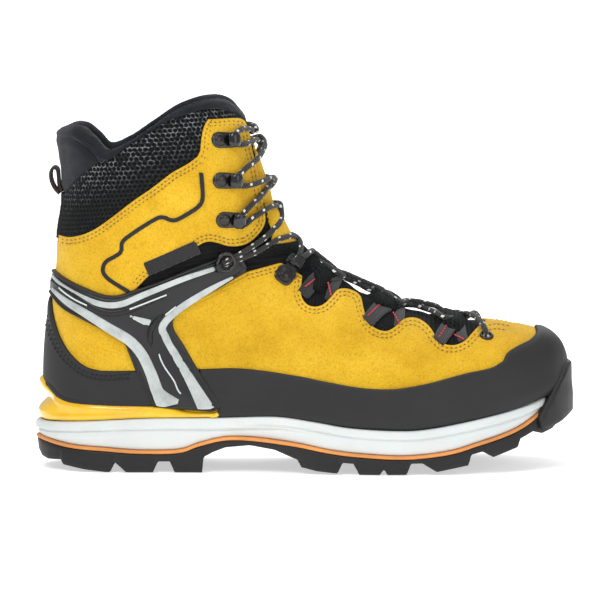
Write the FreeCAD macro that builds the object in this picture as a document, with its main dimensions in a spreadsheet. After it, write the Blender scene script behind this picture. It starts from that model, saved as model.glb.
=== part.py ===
import FreeCAD, Part
import math
import os
from FreeCAD import Vector

# Right mountaineering boot, millimetres. +X points to the toe, -Y to the outer side, +Z up.
# Shapes are drawn with x = 0 at the back of the heel, then placed so that the origin is the
# middle of the heel tread on the ground.

doc = FreeCAD.newDocument("mountaineering_boot")
sheet = doc.addObject("Spreadsheet::Sheet", "Sizes")
SIZES = {
    "boot_length": 309.0,
    "boot_height": 210.0,
    "forefoot_width": 106.5,
    "heel_reach": 58.0,
    "clearance": 0.15,
    "rubber_thickness": 1.7,
    "frame_thickness": 2.8,
    "suede_thickness": 2.0,
    "stiffener_thickness": 1.05,
    "collar_thickness": 6.0,
    "lining_thickness": 1.05,
    "board_thickness": 2.0,
    "footbed_thickness": 5.4,
    "shank_thickness": 1.2,
    "shank_width": 22.0,
    "shank_length": 118.0,
    "shank_start": 50.0,
    "shank_level": 25.6,
    "stripe_thickness": 2.0,
    "tread_depth": 6.0,
    "bumper_thickness": 3.0,
    "lace_radius": 1.6,
    "hook_width": 7.0,
    "hook_length": 15.0,
    "hook_plate": 1.0,
    "rivet_radius": 3.2,
    "rivet_height": 1.8,
    "ring_radius": 5.0,
    "ring_wire": 1.1,
    "eyelet_radius": 4.0,
    "webbing_thickness": 1.6,
    "pull_loop_width": 16.0,
    "pull_loop_height": 14.5,
    "tab_thickness": 0.8,
    "flex_x": 70.0,
    "flex_z": 112.0,
    "flex_forward": 10.0,
    "flex_back": 4.0,
}
for row, (alias, value) in enumerate(SIZES.items(), 1):
    sheet.set("A%d" % row, alias)
    sheet.set("B%d" % row, str(value))
    sheet.setAlias("B%d" % row, alias)
doc.recompute()


def size(alias):
    return float(sheet.get(alias))


# The lines plan below is drawn for this length, height and width.
PLAN_LENGTH = 309.0
PLAN_HEIGHT = 210.0
PLAN_WIDTH = 106.5
KX = size("boot_length") / PLAN_LENGTH
KY = size("forefoot_width") / PLAN_WIDTH
KZ = size("boot_height") / PLAN_HEIGHT
GAP = size("clearance")
SIDE_REACH = 90.0
TOE_START = 250.0
TOE_END = 302.6

# Lines plan of the upper. Each section runs across the boot along a line of the side view:
# back or bottom end, front or top end, where along it the boot is widest, half width outside,
# half width inside, roundness towards the back end, roundness towards the front end.
STATIONS = [
    ((17, 226), (108, 232), 0.47, 40.0, 40.0, 2.2, 2.1),
    ((12.5, 197), (119, 203), 0.47, 41.0, 41.0, 2.2, 2.1),
    ((12.5, 176), (126.5, 181), 0.47, 41.5, 41.5, 2.2, 2.1),
    ((14.3, 155), (131.5, 163), 0.46, 41.0, 41.0, 2.2, 2.1),
    ((11.5, 135), (134, 151), 0.44, 39.5, 40.0, 2.2, 2.1),
    ((10.4, 115), (138, 143), 0.40, 38.0, 39.0, 2.1, 2.0),
    ((7.2, 92), (143, 134), 0.34, 36.5, 37.5, 2.0, 1.9),
    ((4.6, 65), (148, 127), 0.30, 36.0, 36.5, 2.0, 1.9),
    ((4.0, 30), (154, 121), 0.30, 36.0, 35.5, 2.1, 1.9),
    ((4.0, -5), (160, 116), 0.38, 36.0, 34.5, 2.6, 2.0),
    ((12, -20), (167, 112.5), 0.42, 36.5, 34.0, 3.0, 2.0),
    ((60, -20), (175, 108.5), 0.44, 38.5, 33.5, 3.2, 2.0),
    ((110, -20), (187, 101), 0.48, 43.0, 38.0, 3.5, 2.1),
    ((160, -20), (199, 97), 0.50, 48.5, 44.5, 4.0, 2.1),
    ((208, -20), (215, 90.5), 0.54, 52.0, 48.5, 4.0, 2.2),
    ((240, -20), (240, 85), 0.58, 51.0, 48.5, 4.0, 2.4),
    ((262, -20), (262, 83), 0.60, 47.0, 45.5, 4.0, 2.6),
    ((280, -20), (280, 80), 0.62, 39.5, 39.0, 4.0, 2.6),
    ((292, -20), (292, 76), 0.64, 29.5, 30.0, 4.0, 2.6),
    ((298.5, -20), (298.5, 70.5), 0.66, 19.5, 20.0, 4.0, 2.6),
    ((301.6, -20), (301.6, 64), 0.68, 11.0, 11.0, 3.5, 2.4),
    ((302.6, -20), (302.6, 58), 0.70, 5.0, 5.0, 3.0, 2.2),
]


def at(x, z):
    return Vector(x * KX, 0, z * KZ)


def smooth(value):
    value = min(max(value, 0.0), 1.0)
    return value * value * (3 - 2 * value)


def centre_shift(x):
    """The toe swings towards the inner side."""
    return 8.0 * KY * smooth((x / KX - 150.0) / 150.0)


def station(place, offset):
    """Values of the section at a place between the stations, moved inwards by offset."""
    index = int(min(max(math.floor(place), 0), len(STATIONS) - 2))
    part = place - index
    rows = [STATIONS[min(max(index + step, 0), len(STATIONS) - 1)] for step in (-1, 0, 1, 2)]
    flat = [(*row[0], *row[1], *row[2:]) for row in rows]
    values = []
    for before, here, after, last in zip(*flat):
        values.append(
            here
            + 0.5 * part * (after - before + part * (2 * before - 5 * here + 4 * after - last
                                                     + part * (3 * (here - after) + last - before))))
    back = at(values[0], values[1])
    front = at(values[2], values[3])
    toe = offset * smooth((values[2] - TOE_START) / (TOE_END - TOE_START))
    back.x -= toe
    front.x -= toe
    return back, front, values[4], values[5] * KY, values[6] * KY, values[7], values[8]


def skin_point(place, angle, offset):
    """Point of the upper at a section, turned by angle from its front end, inner side positive."""
    back, front, widest, outer, inner, back_power, front_power = station(place, offset)
    run = front - back
    length = run.Length
    run.normalize()
    width = (inner if math.sin(angle) > 0 else outer) - offset
    middle = length * widest
    cosine = math.cos(angle)
    sine = math.sin(angle)
    if cosine >= 0:
        power = front_power
        along = middle + (length - offset - middle) * cosine ** (2 / power)
    else:
        power = back_power
        along = middle - (middle - offset) * (-cosine) ** (2 / power)
    side = math.copysign(abs(sine) ** (2 / power), sine)
    point = back + run * along
    return Vector(point.x, centre_shift(point.x) + width * side, point.z)


def locate(x, z):
    """Section and angle of the outer-side point that shows at x, z in the side view."""
    target = at(x, z)
    low = 0.0
    high = len(STATIONS) - 1.0
    for _ in range(40):
        place = (low + high) / 2
        back, front, *_rest = station(place, 0)
        run = front - back
        across = run.x * (target.z - back.z) - run.z * (target.x - back.x)
        if across > 0:
            high = place
        else:
            low = place
    back, front, widest, _outer, _inner, back_power, front_power = station(place, 0)
    run = front - back
    length = run.Length
    along = (target - back).dot(run) / length
    middle = length * widest
    if along >= middle:
        share = min((along - middle) / (length - middle), 1.0)
        angle = math.acos(share ** (front_power / 2))
    else:
        share = min((middle - along) / middle, 1.0)
        angle = math.pi - math.acos(share ** (back_power / 2))
    return place, angle


def seat(x, z, side, offset=0.0, turn=0.0):
    """Placement on the upper: local z points out of the boot, local x forward and turned."""
    place, angle = locate(x, z)
    step = 0.01
    point = skin_point(place, side * angle, offset)
    nearer = skin_point(place, side * (angle + step), offset)
    along = skin_point(place, side * (angle - step), offset) - nearer
    lower = skin_point(place - step, side * angle, offset)
    across = skin_point(place + step, side * angle, offset) - lower
    normal = along.cross(across)
    if normal.y * side < 0:
        normal = normal * -1
    normal.normalize()
    forward = Vector(math.cos(math.radians(turn)), 0, math.sin(math.radians(turn)))
    forward = forward - normal * forward.dot(normal)
    forward.normalize()
    sideways = normal.cross(forward)
    return FreeCAD.Placement(point, FreeCAD.Rotation(forward, sideways, normal, "ZXY"))


def skin(offset):
    """Solid inside the upper's surface moved inwards by offset."""
    wires = []
    count = 20
    knots = [step / count for step in range(count + 1)]
    for place in range(len(STATIONS)):
        points = [skin_point(place, math.pi + 2 * math.pi * step / count, offset) for step in range(count)]
        curve = Part.BSplineCurve()
        curve.interpolate(Points=points + points[:1], Parameters=knots)
        wires.append(Part.Wire([curve.toShape()]))
    return Part.makeLoft(wires, True, False)


SKINS = {}
LAYERS = {}


def skin_once(offset):
    """Each skin is lofted once and shared by every layer that needs it."""
    if offset not in SKINS:
        SKINS[offset] = skin(offset)
    return SKINS[offset]


def layer(outside, inside):
    """Shell of the upper between two offsets."""
    if (outside, inside) not in LAYERS:
        LAYERS[outside, inside] = skin_once(outside).cut(skin_once(inside))
    return LAYERS[outside, inside]


def prism(*stretches):
    """Side-view outline cut through the whole boot: each stretch is a smooth run of points."""
    edges = []
    runs = [[at(x, z) for x, z in stretch] for stretch in stretches]
    for number, run in enumerate(runs):
        following = runs[(number + 1) % len(runs)][0]
        if len(run) == 2:
            edges.append(Part.makeLine(run[0], run[1]))
        elif len(run) > 2:
            curve = Part.BSplineCurve()
            curve.interpolate(run)
            edges.append(curve.toShape())
        if run[-1].distanceToPoint(following) > 1e-6:
            edges.append(Part.makeLine(run[-1], following))
    face = Part.Face(Part.Wire(edges))
    face.translate(Vector(0, -SIDE_REACH, 0))
    return face.extrude(Vector(0, 2 * SIDE_REACH, 0))


# Lines of the side view, all from heel to toe.
SOLE_SEAT = [(-12, 27), (4.5, 27), (15, 27.7), (40, 29.3), (62, 30.4), (101, 31), (138, 32), (157, 29.6),
             (180, 26), (212, 24.6), (227, 26), (249, 30), (269, 34.5), (284, 39), (296, 43.5), (320, 52)]
STRIPE_TOP = [(-12, 19), (0, 18.3), (20, 15), (39, 13.8), (58, 12.5), (83, 13.2), (93, 16.7), (110, 20.4),
              (144, 17.8), (169, 13.4), (187, 11.6), (212, 10.7), (237, 13.5), (252, 17.8), (266, 22),
              (276, 26), (284, 31), (290, 36), (300, 45), (306, 50)]
TREAD_HEEL = [(-12, 5.5), (5, 4.2), (16, 2.2), (28, 0.6), (40, 0)]
TREAD_TOE = [(205, 0), (215, 0.4), (229, 1.6), (246, 5.0), (260, 9.2), (275, 14.4), (294, 22.5), (320, 35)]
RAND_TOP = [(94, 58.6), (117, 59), (150, 55), (163, 52.6), (186, 49), (204, 48.5), (222, 51.4),
            (245, 57), (260, 60), (266, 63.3)]
CAP_TOP = [(266, 63.3), (268.5, 67.5), (274, 70.6), (283, 74.3)]
COUNTER_TOP = [(8, 98.2), (10, 86), (14.4, 74.5), (21, 65.4), (29, 59.6), (37.5, 57.6), (54.6, 58.6)]
BRACE_TOP = [(9.4, 113.3), (18, 109), (29, 104.6), (40, 101), (47, 101), (56, 104), (73, 110), (89, 116.6),
             (101, 120.8), (112, 124)]
BRACE_FRONT = [(119, 112.6), (106, 105), (91, 97), (83, 91.5), (78, 87), (77.6, 82), (83, 72), (90, 60),
               (99, 46.5), (107, 35.4)]
BRACE_REAR = [(66, 38.9), (57, 57.5), (53, 67.5), (50, 74), (40, 80), (26.5, 86.5), (15.5, 92), (8.3, 99)]
CUFF_TOP = [(11, 133.5), (18, 133), (26.5, 135), (34, 138.6), (43, 145), (56, 155), (67, 162.6), (78, 171),
            (87, 176), (93, 181)]
COLLAR_SEAM = [(14, 156.5), (25, 168), (36, 176.5), (43, 178.6), (51, 184.6), (64, 193.4), (78, 201.6)]
COLLAR_RIM = [(6, 194.5), (14.4, 195.5), (23, 197), (32, 191), (40, 184), (51, 187), (66, 195), (82, 204),
              (102, 210), (116, 206), (121, 199)]
SCALLOPS = [
    [(119, 112.9), (140, 118)],
    [(152, 110.5), (152, 98)],
    [(152, 98), (159.5, 94), (168, 97.6), (173.6, 103)],
    [(173.6, 103), (185, 100)],
    [(185, 100), (188, 88.6), (195, 82), (201, 80), (212, 87)],
    [(212, 87), (220, 86)],
    [(220, 86), (229, 77), (238, 73), (247.5, 78.5)],
]
THROAT_END = 270.0
BEHIND = -15.0
AHEAD = 330.0
BELOW = -15.0
ABOVE = 245.0


def lift(line, height):
    return [(x, z + height) for x, z in line]


def under(line):
    """Everything below a line of the side view."""
    return prism(line, [(line[-1][0], BELOW)], [(line[0][0], BELOW)])


def over(line):
    """Everything above a line of the side view."""
    return prism(line, [(line[-1][0], ABOVE)], [(line[0][0], ABOVE)])


def between(low, high):
    return prism(low, list(reversed(high)))


def zone(*corners):
    return prism(*[[corner] for corner in corners])


def lower_zone():
    """Side of the ankle flex that stays with the foot."""
    slope = math.tan(math.radians(18))
    hinge_x = size("flex_x")
    hinge_z = size("flex_z")
    return zone((BEHIND, hinge_z + 1.9), (hinge_x, hinge_z), (150, hinge_z + (150 - hinge_x) * slope),
                (AHEAD, hinge_z + (150 - hinge_x) * slope), (AHEAD, BELOW), (BEHIND, BELOW))


def upper_zone():
    """Side of the ankle flex that swings with the cuff, with room for the whole swing."""
    margin = 0.6
    front = math.tan(math.radians(18 + size("flex_forward") + margin))
    rear = math.tan(math.radians(1.3 + size("flex_back") + margin))
    hinge_x = size("flex_x")
    hinge_z = size("flex_z") + 0.4
    return zone((BEHIND, hinge_z + (hinge_x - BEHIND) * rear), (hinge_x, hinge_z),
                (160, hinge_z + (160 - hinge_x) * front), (160, ABOVE), (BEHIND, ABOVE))


def common(first, *others):
    for other in others:
        first = first.common(other)
    return first


def largest(shape):
    """The main solid of a shape, without slivers."""
    return max(shape.Solids, key=lambda solid: solid.Volume)


PARTS = []


def place(obj):
    obj.Placement = FreeCAD.Placement(Vector(-size("heel_reach"), 0, 0), FreeCAD.Rotation())
    PARTS.append(obj)


def feature(label, shape):
    obj = doc.addObject("Part::Feature", label)
    obj.Label = label
    solids = shape.Solids
    plain = len(solids) == 1 and solids[0].Placement.isIdentity()
    obj.Shape = solids[0] if plain else Part.makeCompound(solids)
    place(obj)
    return obj


# ---- sole -------------------------------------------------------------------------------------

SOLE_OUTSIDE = [(0.0, 0), (4, -14), (12, -25.5), (26, -34), (46, -38), (75, -38.5), (105, -39.5), (135, -43),
                (165, -48.5), (195, -53.5), (220, -55), (243, -53.5), (264, -49), (282, -40), (293, -29),
                (299, -16), (301.5, 0)]
SOLE_INSIDE = [(299, 17), (293, 30), (282, 40), (264, 48), (243, 51.5), (220, 51.5), (195, 49), (165, 42.5),
               (135, 36), (105, 33.5), (75, 35.5), (46, 37.5), (26, 34), (12, 25.5), (4, 14)]


SOLE_TIP = 301.5


def sole_outline(spread, toe_reach):
    """Closed outline of the sole seen from above; spread moves it out all round."""
    points = []
    for x, y in SOLE_OUTSIDE + SOLE_INSIDE:
        stretch = 1 + (toe_reach - SOLE_TIP) / SOLE_TIP * smooth((x - 150) / 150)
        out_x = x * KX * stretch + spread * (2 * x / 300.0 - 1) * smooth(abs(x / 150.0 - 1) ** 2)
        out_y = y * KY + math.copysign(spread, y) * (1 if y else 0)
        points.append(Vector(out_x, out_y + centre_shift(out_x), 0))
    return points


def sole_sketch(body, spread, toe_reach):
    plane = [item for item in body.Origin.OriginFeatures if item.Role == "XY_Plane"][0]
    sketch = body.newObject("Sketcher::SketchObject", body.Label + "_outline")
    sketch.AttachmentSupport = [(plane, "")]
    sketch.MapMode = "FlatFace"
    curve = Part.BSplineCurve()
    curve.interpolate(sole_outline(spread, toe_reach), PeriodicFlag=True)
    sketch.addGeometry(curve, False)
    return sketch


def side_sketch(body, name, *stretches):
    plane = [item for item in body.Origin.OriginFeatures if item.Role == "XZ_Plane"][0]
    sketch = body.newObject("Sketcher::SketchObject", body.Label + "_" + name)
    sketch.AttachmentSupport = [(plane, "")]
    sketch.MapMode = "FlatFace"
    runs = [[Vector(x * KX, z * KZ, 0) for x, z in stretch] for stretch in stretches]
    for number, run in enumerate(runs):
        following = runs[(number + 1) % len(runs)][0]
        if len(run) > 2:
            curve = Part.BSplineCurve()
            curve.interpolate(run)
            sketch.addGeometry(curve, False)
        elif len(run) == 2:
            sketch.addGeometry(Part.LineSegment(run[0], run[1]), False)
        if run[-1].distanceToPoint(following) > 1e-6:
            sketch.addGeometry(Part.LineSegment(run[-1], following), False)
    return sketch


def cut_side(body, name, *stretches):
    """Removes a side-view outline from the body, through its whole width."""
    sketch = side_sketch(body, name, *stretches)
    pocket = body.newObject("PartDesign::Pocket", body.Label + "_" + name + "_cut")
    pocket.Profile = sketch
    pocket.Type = 1
    pocket.Midplane = True
    sketch.Visibility = False
    return pocket


def sole_slab(label, spread, toe_reach, low, high):
    """Layer of the sole between two side-view lines; the lower one is a list of stretches."""
    body = doc.addObject("PartDesign::Body", label)
    body.Label = label
    outline = sole_sketch(body, spread, toe_reach)
    pad = body.newObject("PartDesign::Pad", label + "_pad")
    pad.Profile = outline
    pad.setExpression("Length", "Sizes.boot_height * 0.3")
    doc.recompute()
    cut_side(body, "above", high, [(high[-1][0], 90), (high[0][0], 90)])
    doc.recompute()
    cut_side(body, "below", *low, [(low[-1][-1][0], -10), (low[0][0][0], -10)])
    doc.recompute()
    place(body)
    return body


STRIPE = size("stripe_thickness")


def make_midsole():
    body = sole_slab("midsole", 0.0, 299.0, [lift(STRIPE_TOP, GAP)], SOLE_SEAT)
    recess = doc.addObject("Part::Box", "shank_recess")
    recess.setExpression("Length", "Sizes.shank_length + 2 * Sizes.clearance")
    recess.setExpression("Width", "Sizes.shank_width + 2 * Sizes.clearance")
    recess.setExpression("Height", "10 * Sizes.shank_thickness")
    PARTS.remove(body)
    body.Placement = FreeCAD.Placement()
    start = size("shank_start") - GAP
    recess.Placement.Base = Vector(start, -size("shank_width") / 2 - GAP, size("shank_level"))
    cut = doc.addObject("Part::Cut", "midsole_with_recess")
    cut.Base = body
    cut.Tool = recess
    body.Label = "midsole_block"
    cut.Label = "midsole"
    place(cut)


def make_shank():
    plate = doc.addObject("Part::Box", "shank")
    plate.Label = "shank"
    plate.setExpression("Length", "Sizes.shank_length")
    plate.setExpression("Width", "Sizes.shank_width")
    plate.setExpression("Height", "Sizes.shank_thickness")
    place(plate)
    plate.Placement.Base += Vector(size("shank_start"), -size("shank_width") / 2, size("shank_level") + GAP)


def make_stripe():
    sole_slab("sole_stripe", 0.0, 299.0, [lift(STRIPE_TOP, -STRIPE)], STRIPE_TOP)


LUG_GAPS = [(43, 47), (70, 77), (175, 182), (213, 220), (247, 255)]
MIDDLE_CHANNELS = [(156, 206), (206, 262)]
CHANNEL_HALF_WIDTH = 5.0
ARCH = [(96, 0), (101, 8), (108, 14.2), (122, 15.6), (136, 13.2), (146, 9), (151, 0)]


def make_outsole():
    """Tread slab with cross channels, a middle channel and the bumper over the toe."""
    body = sole_slab("outsole_slab", 0.6, 303.0, [TREAD_HEEL, TREAD_HEEL[-1:] + TREAD_TOE[:1], TREAD_TOE],
                     lift(STRIPE_TOP, -STRIPE - GAP))
    cut_side(body, "arch", ARCH, [(151, -6), (96, -6)])
    doc.recompute()
    PARTS.remove(body)
    shape = body.Shape.copy()
    shape.Placement = FreeCAD.Placement()
    depth = size("tread_depth")
    roof = prism(lift(TREAD_HEEL, depth), lift(TREAD_TOE, depth), [(AHEAD, BELOW)], [(BEHIND, BELOW)])
    channels = []
    for start, end in LUG_GAPS:
        lean = 1.5
        channels.append(zone((start - lean, -10), (start, 30), (end, 30), (end + lean, -10)))
    for start, end in MIDDLE_CHANNELS:
        corner = Vector(start * KX, centre_shift(start * KX) - CHANNEL_HALF_WIDTH, -20)
        channels.append(Part.makeBox((end - start) * KX, 2 * CHANNEL_HALF_WIDTH, 60, corner))
    for channel in channels:
        shape = shape.cut(channel.common(roof))
    bumper = common(layer(-2.0 - size("bumper_thickness"), -2.0),
                    zone((283, 32.6), (296, 47), (301.5, 58.8), (AHEAD, 58.8), (AHEAD, 20), (290, 20)))
    shape = largest(shape.fuse(largest(bumper)))
    feature("outsole", shape)


# ---- upper ------------------------------------------------------------------------------------

SUEDE = size("suede_thickness")
RUBBER = size("rubber_thickness")
INNER_START = SUEDE + GAP
STIFF_END = INNER_START + size("stiffener_thickness")
LINING_START = STIFF_END + GAP
LINING_END = LINING_START + size("lining_thickness")
PADDING_END = INNER_START + size("collar_thickness")
UPPER_LINING_START = PADDING_END + GAP
UPPER_LINING_END = UPPER_LINING_START + size("lining_thickness")
FLOOR = lift(SOLE_SEAT, 0.2)
FOOT_SHELF = lift(SOLE_SEAT, 0.2 + size("board_thickness") + 0.2)


def rubber_layer():
    return layer(-RUBBER - 0.1, -0.1)


def make_rand():
    body = common(rubber_layer(), over(FLOOR))
    foot = BRACE_FRONT[-1][0] + 0.6
    front = zone((foot, BELOW), (foot, 35.4), (99.6, 46.5), (90.7, 60), (90, 100),
                 (AHEAD, 100), (AHEAD, BELOW))
    toe = prism(RAND_TOP, CAP_TOP, [(283, 74.3), (285.5, 77), (284, 81)],
                [(284, 100)], [(AHEAD, 100)], [(AHEAD, BELOW)],
                [(94, BELOW)])
    feature("rand", largest(common(body, front, toe)))


def make_heel_counter():
    rear = prism(COUNTER_TOP, [(56.2, 57.2), (65.4, 39.2)], [(40, 39.2), (20, 40.2), (13, 42.2), (7, 47.5)],
                 [(BEHIND, 47.5)], [(BEHIND, 98.2)])
    feature("heel_counter", largest(common(rubber_layer(), rear)))


FRAME_TOP = [(7, 47.2), (13, 41.6), (20, 39.6), (40, 38.6), (67, 37.5), (107.3, 34.3)]


def make_heel_frame():
    """Plastic frame round the heel; its back bulges out as the crampon ledge."""
    outline = prism([(BEHIND, 47.2), (7, 47.2)], FRAME_TOP, [(100.5, 29)], [(100.5, BELOW)], [(BEHIND, BELOW)])
    ring = common(layer(-size("frame_thickness") - 0.1, -0.1), over(FLOOR), outline)
    notch = zone((BEHIND, 36.5), (3.6, 39.5), (3.6, 47.4), (BEHIND, 47.4))
    feature("heel_frame", largest(ring.cut(notch)))


GUIDE = (106, 118.4)
GUIDE_TURN = 30.0
KEEPER_RADIUS = 2.5
KEEPER_LENGTH = 4.0


def guide_seat(side):
    return seat(GUIDE[0], GUIDE[1], side, -RUBBER - 2.7, GUIDE_TURN)


def keeper(side, radius, length):
    """Round bar at the root of a lace guide, in the boot's place."""
    start = Vector(-size("ring_radius"), -length / 2, 0)
    return turned(Part.makeCylinder(radius, length, start, Vector(0, 1, 0)), guide_seat(side))


def make_ankle_brace():
    arms = common(rubber_layer(), prism(BRACE_TOP, [(120, 116), (119, 112.6)], BRACE_FRONT[1:],
                                        [(66, 38.9)], BRACE_REAR[1:], [(BEHIND, 99)], [(BEHIND, 113.3)]))
    for side in (-1, 1):
        arms = arms.cut(keeper(side, KEEPER_RADIUS + GAP, KEEPER_LENGTH + 2 * GAP))
    feature("ankle_brace", largest(arms))


def suede():
    return layer(0.0, SUEDE)


def make_vamp():
    outline = prism(*SCALLOPS, [(THROAT_END, 81.5)], [(THROAT_END, 110)], [(AHEAD, 110)], [(AHEAD, BELOW)],
                    [(80.4, BELOW)], [(80.4, 95)], [(100, 104)])
    feature("vamp", largest(common(suede(), outline, over(FLOOR))))


def make_quarter():
    outline = prism([(80, BELOW), (80, 110.8)], [(56, 104.6), (40, 101.6), (29, 105)],
                    [(BEHIND, 113)], [(BEHIND, BELOW)])
    feature("quarter", largest(common(suede(), outline, over(FLOOR), lower_zone())))


def make_flex_panel():
    outline = prism([(80.2, 95.4), (100, 104.4), (119, 113.3), (140, 118.4)], [(147, 126)], [(128, 130)],
                    [(70, 111.7)], [(80.2, 111)])
    feature("flex_panel", largest(common(suede(), outline, lower_zone())))


def make_cuff():
    outline = prism(CUFF_TOP, [(94.5, 185), (95, 192), (97, 199.5)], [(118, 199.5)],
                    [(120, 195), (124, 181), (126, 171.5), (130, 148)],
                    [(130, 130)], [(60, 108)], [(BEHIND, 108)],
                    [(BEHIND, 133.5)])
    feature("cuff", largest(common(suede(), outline, upper_zone())))


def cover_zone():
    """Side-view region of the padded rim, in front of the heel pad."""
    seam = [(36.2, 176.9), (43, 178.8), (51, 184.8), (64, 193.6), (78, 201.8),
            (94, 206.3), (104, 206.4), (118, 202.4)]
    rear = [(12, 190), (19, 190.5), (29, 184), (36.2, 176.9)]
    return prism(seam, [(118, 240)], [(BEHIND, 240)], [(BEHIND, 190)], rear)


def pad_zone():
    """Side-view region of the pad over the heel tendon."""
    seam = [(14, 156.8), (25, 168.3), (35.8, 176.6)]
    front = [(35.8, 176.6), (28.6, 183.6), (18.8, 190.1), (12, 189.6)]
    return prism(seam, front, [(BEHIND, 189.6)], [(BEHIND, 156.8)])


def make_collar_mesh():
    outline = prism(lift(CUFF_TOP, GAP), [(94.3, 185.1), (94.8, 192), (96.5, 201.5)], [(116, 201.5)],
                    [(117, 202.5), (104, 206), (94, 206), (78, 201.4)],
                    list(reversed(lift(COLLAR_SEAM, -GAP)))[1:],
                    [(BEHIND, 156.3)], [(BEHIND, 133.6)])
    feature("collar_mesh", largest(common(suede(), outline).cut(cover_zone()).cut(pad_zone())))


def rim_zone():
    return prism(COLLAR_RIM, [(132, 199)], [(132, BELOW)], [(BEHIND, BELOW)], [(BEHIND, 194.5)])


def make_collar_cover():
    feature("collar_cover", largest(common(suede(), cover_zone(), rim_zone()).cut(pad_zone())))


def make_achilles_pad():
    feature("achilles_pad", largest(common(suede(), pad_zone())))


def tongue_zone(shift):
    """Front part of the upper under the lacing."""
    return prism([(104 + shift, 240), (108 + shift, 190), (112 + shift, 160), (120 + shift, 124),
                  (146 + shift, 97 + shift), (190, 74 + shift), (232, 65 + shift), (258, 72 + shift)],
                 [(266 - shift, 82)], [(266 - shift, 110)], [(200, 150)], [(150, 240)])


TONGUE_GAP = 0.3


def around_tongue(outside, inside):
    """Upper layer of the shaft with an opening for the tongue."""
    return largest(common(layer(outside, inside), upper_zone(), rim_zone()).cut(tongue_zone(-TONGUE_GAP)))


def make_collar_padding():
    feature("collar_padding", around_tongue(INNER_START, PADDING_END))


def make_lining_upper():
    feature("lining_upper", around_tongue(UPPER_LINING_START, UPPER_LINING_END))


def make_tongue_upper():
    body = common(layer(INNER_START, UPPER_LINING_END), upper_zone(), tongue_zone(0), rim_zone())
    feature("tongue_upper", largest(body))


def make_tongue_lower():
    body = common(layer(LINING_START, UPPER_LINING_END), lower_zone(), tongue_zone(0))
    feature("tongue_lower", largest(body))


def make_gusset():
    feature("tongue_gusset", largest(common(layer(INNER_START, STIFF_END), lower_zone(), tongue_zone(0))))


def make_toe_puff():
    toe = zone((268, BELOW), (268, 110), (AHEAD, 110), (AHEAD, BELOW))
    feature("toe_puff", largest(common(layer(INNER_START, STIFF_END), over(FOOT_SHELF), toe)))


def make_heel_stiffener():
    heel = zone((BEHIND, BELOW), (BEHIND, 96), (30, 92), (75, 60), (75, BELOW))
    feature("heel_stiffener", largest(common(layer(INNER_START, STIFF_END), over(FOOT_SHELF), heel)))


def make_lining_lower():
    body = common(layer(LINING_START, LINING_END), over(FOOT_SHELF), lower_zone()).cut(tongue_zone(-TONGUE_GAP))
    feature("lining_lower", largest(body))


def make_insole_board():
    board = common(skin_once(INNER_START), between(FLOOR, lift(FLOOR, size("board_thickness"))))
    feature("insole_board", largest(board))


def make_footbed():
    top = lift(FOOT_SHELF, size("footbed_thickness"))
    feature("footbed", largest(common(skin_once(7.0), between(lift(FOOT_SHELF, 0.1), top))))


# ---- lacing -----------------------------------------------------------------------------------

HOOKS = [(104.6, 189), (105.7, 166), (107.5, 143.5)]
LOOPS = [(163, 99), (196, 87.5), (234, 79)]
LOCKS = [(142, 111)]
TOE_EYELETS = [(257, 77)]


def turned(shape, seat_placement):
    return shape.transformed(seat_placement.toMatrix(), True)


HOOK_SINK = 0.75
HOOK_CURL_RADIUS = 2.6
HOOK_CURL_PLACE = 8.0
HOOK_MOUTH_HEIGHT = 4.2
RIVET_SHANK_RADIUS = 1.4
RIVET_HOLE_RADIUS = 1.6


def hook_shape():
    """Flat plate that curls out and back over the lace."""
    width = size("hook_width")
    plate = size("hook_plate")
    radius = HOOK_CURL_RADIUS
    across = Vector(0, 1, 0)
    base = Part.makeBox(size("hook_length") - 3, width, plate, Vector(-4, -width / 2, 0))
    centre = Vector(HOOK_CURL_PLACE, -width / 2, radius + plate)
    curl = Part.makeCylinder(radius + plate, width, centre, across)
    curl = curl.cut(Part.makeCylinder(radius, width + 2, centre - across, across))
    mouth = Vector(0, -width / 2 - 1, plate + 0.6)
    curl = curl.cut(Part.makeBox(HOOK_CURL_PLACE, width + 2, HOOK_MOUTH_HEIGHT, mouth))
    return largest(base.fuse(curl))


def make_hooks():
    hole = Part.makeCylinder(RIVET_HOLE_RADIUS, 6, Vector(0, 0, -2))
    hooks = [turned(hook_shape().cut(hole), seat(x, z, side, -HOOK_SINK)) for x, z in HOOKS for side in (-1, 1)]
    feature("lace_hooks", Part.makeCompound(hooks))


def rivet_shape():
    radius = size("rivet_radius")
    height = size("rivet_height")
    ball = (radius ** 2 + height ** 2) / (2 * height)
    head = Part.makeSphere(ball, Vector(0, 0, height - ball)).common(Part.makeCylinder(radius, height))
    head.translate(Vector(0, 0, size("hook_plate") + 0.1))
    return largest(head.fuse(Part.makeCylinder(RIVET_SHANK_RADIUS, 1.6, Vector(0, 0, -0.2))))


def make_hook_rivets():
    rivets = [turned(rivet_shape(), seat(x, z, side, -HOOK_SINK)) for x, z in HOOKS for side in (-1, 1)]
    feature("hook_rivets", Part.makeCompound(rivets))


LOCK_TURN = 48.0
LOCK_SINK = 0.6
LOCK_PLATE = 1.2
LOCK_EAR_START = 6.6
LOCK_EAR_HEIGHT = 3.9
LOCK_PIN = Vector(8.3, 0, 2.6)
CLAMP_WIDTH = 5.2
CLAMP_LENGTH = 5.5


def across_pin(radius, length):
    """Bar along the clamp's pin."""
    return Part.makeCylinder(radius, length, LOCK_PIN - Vector(0, length / 2, 0), Vector(0, 1, 0))


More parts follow.
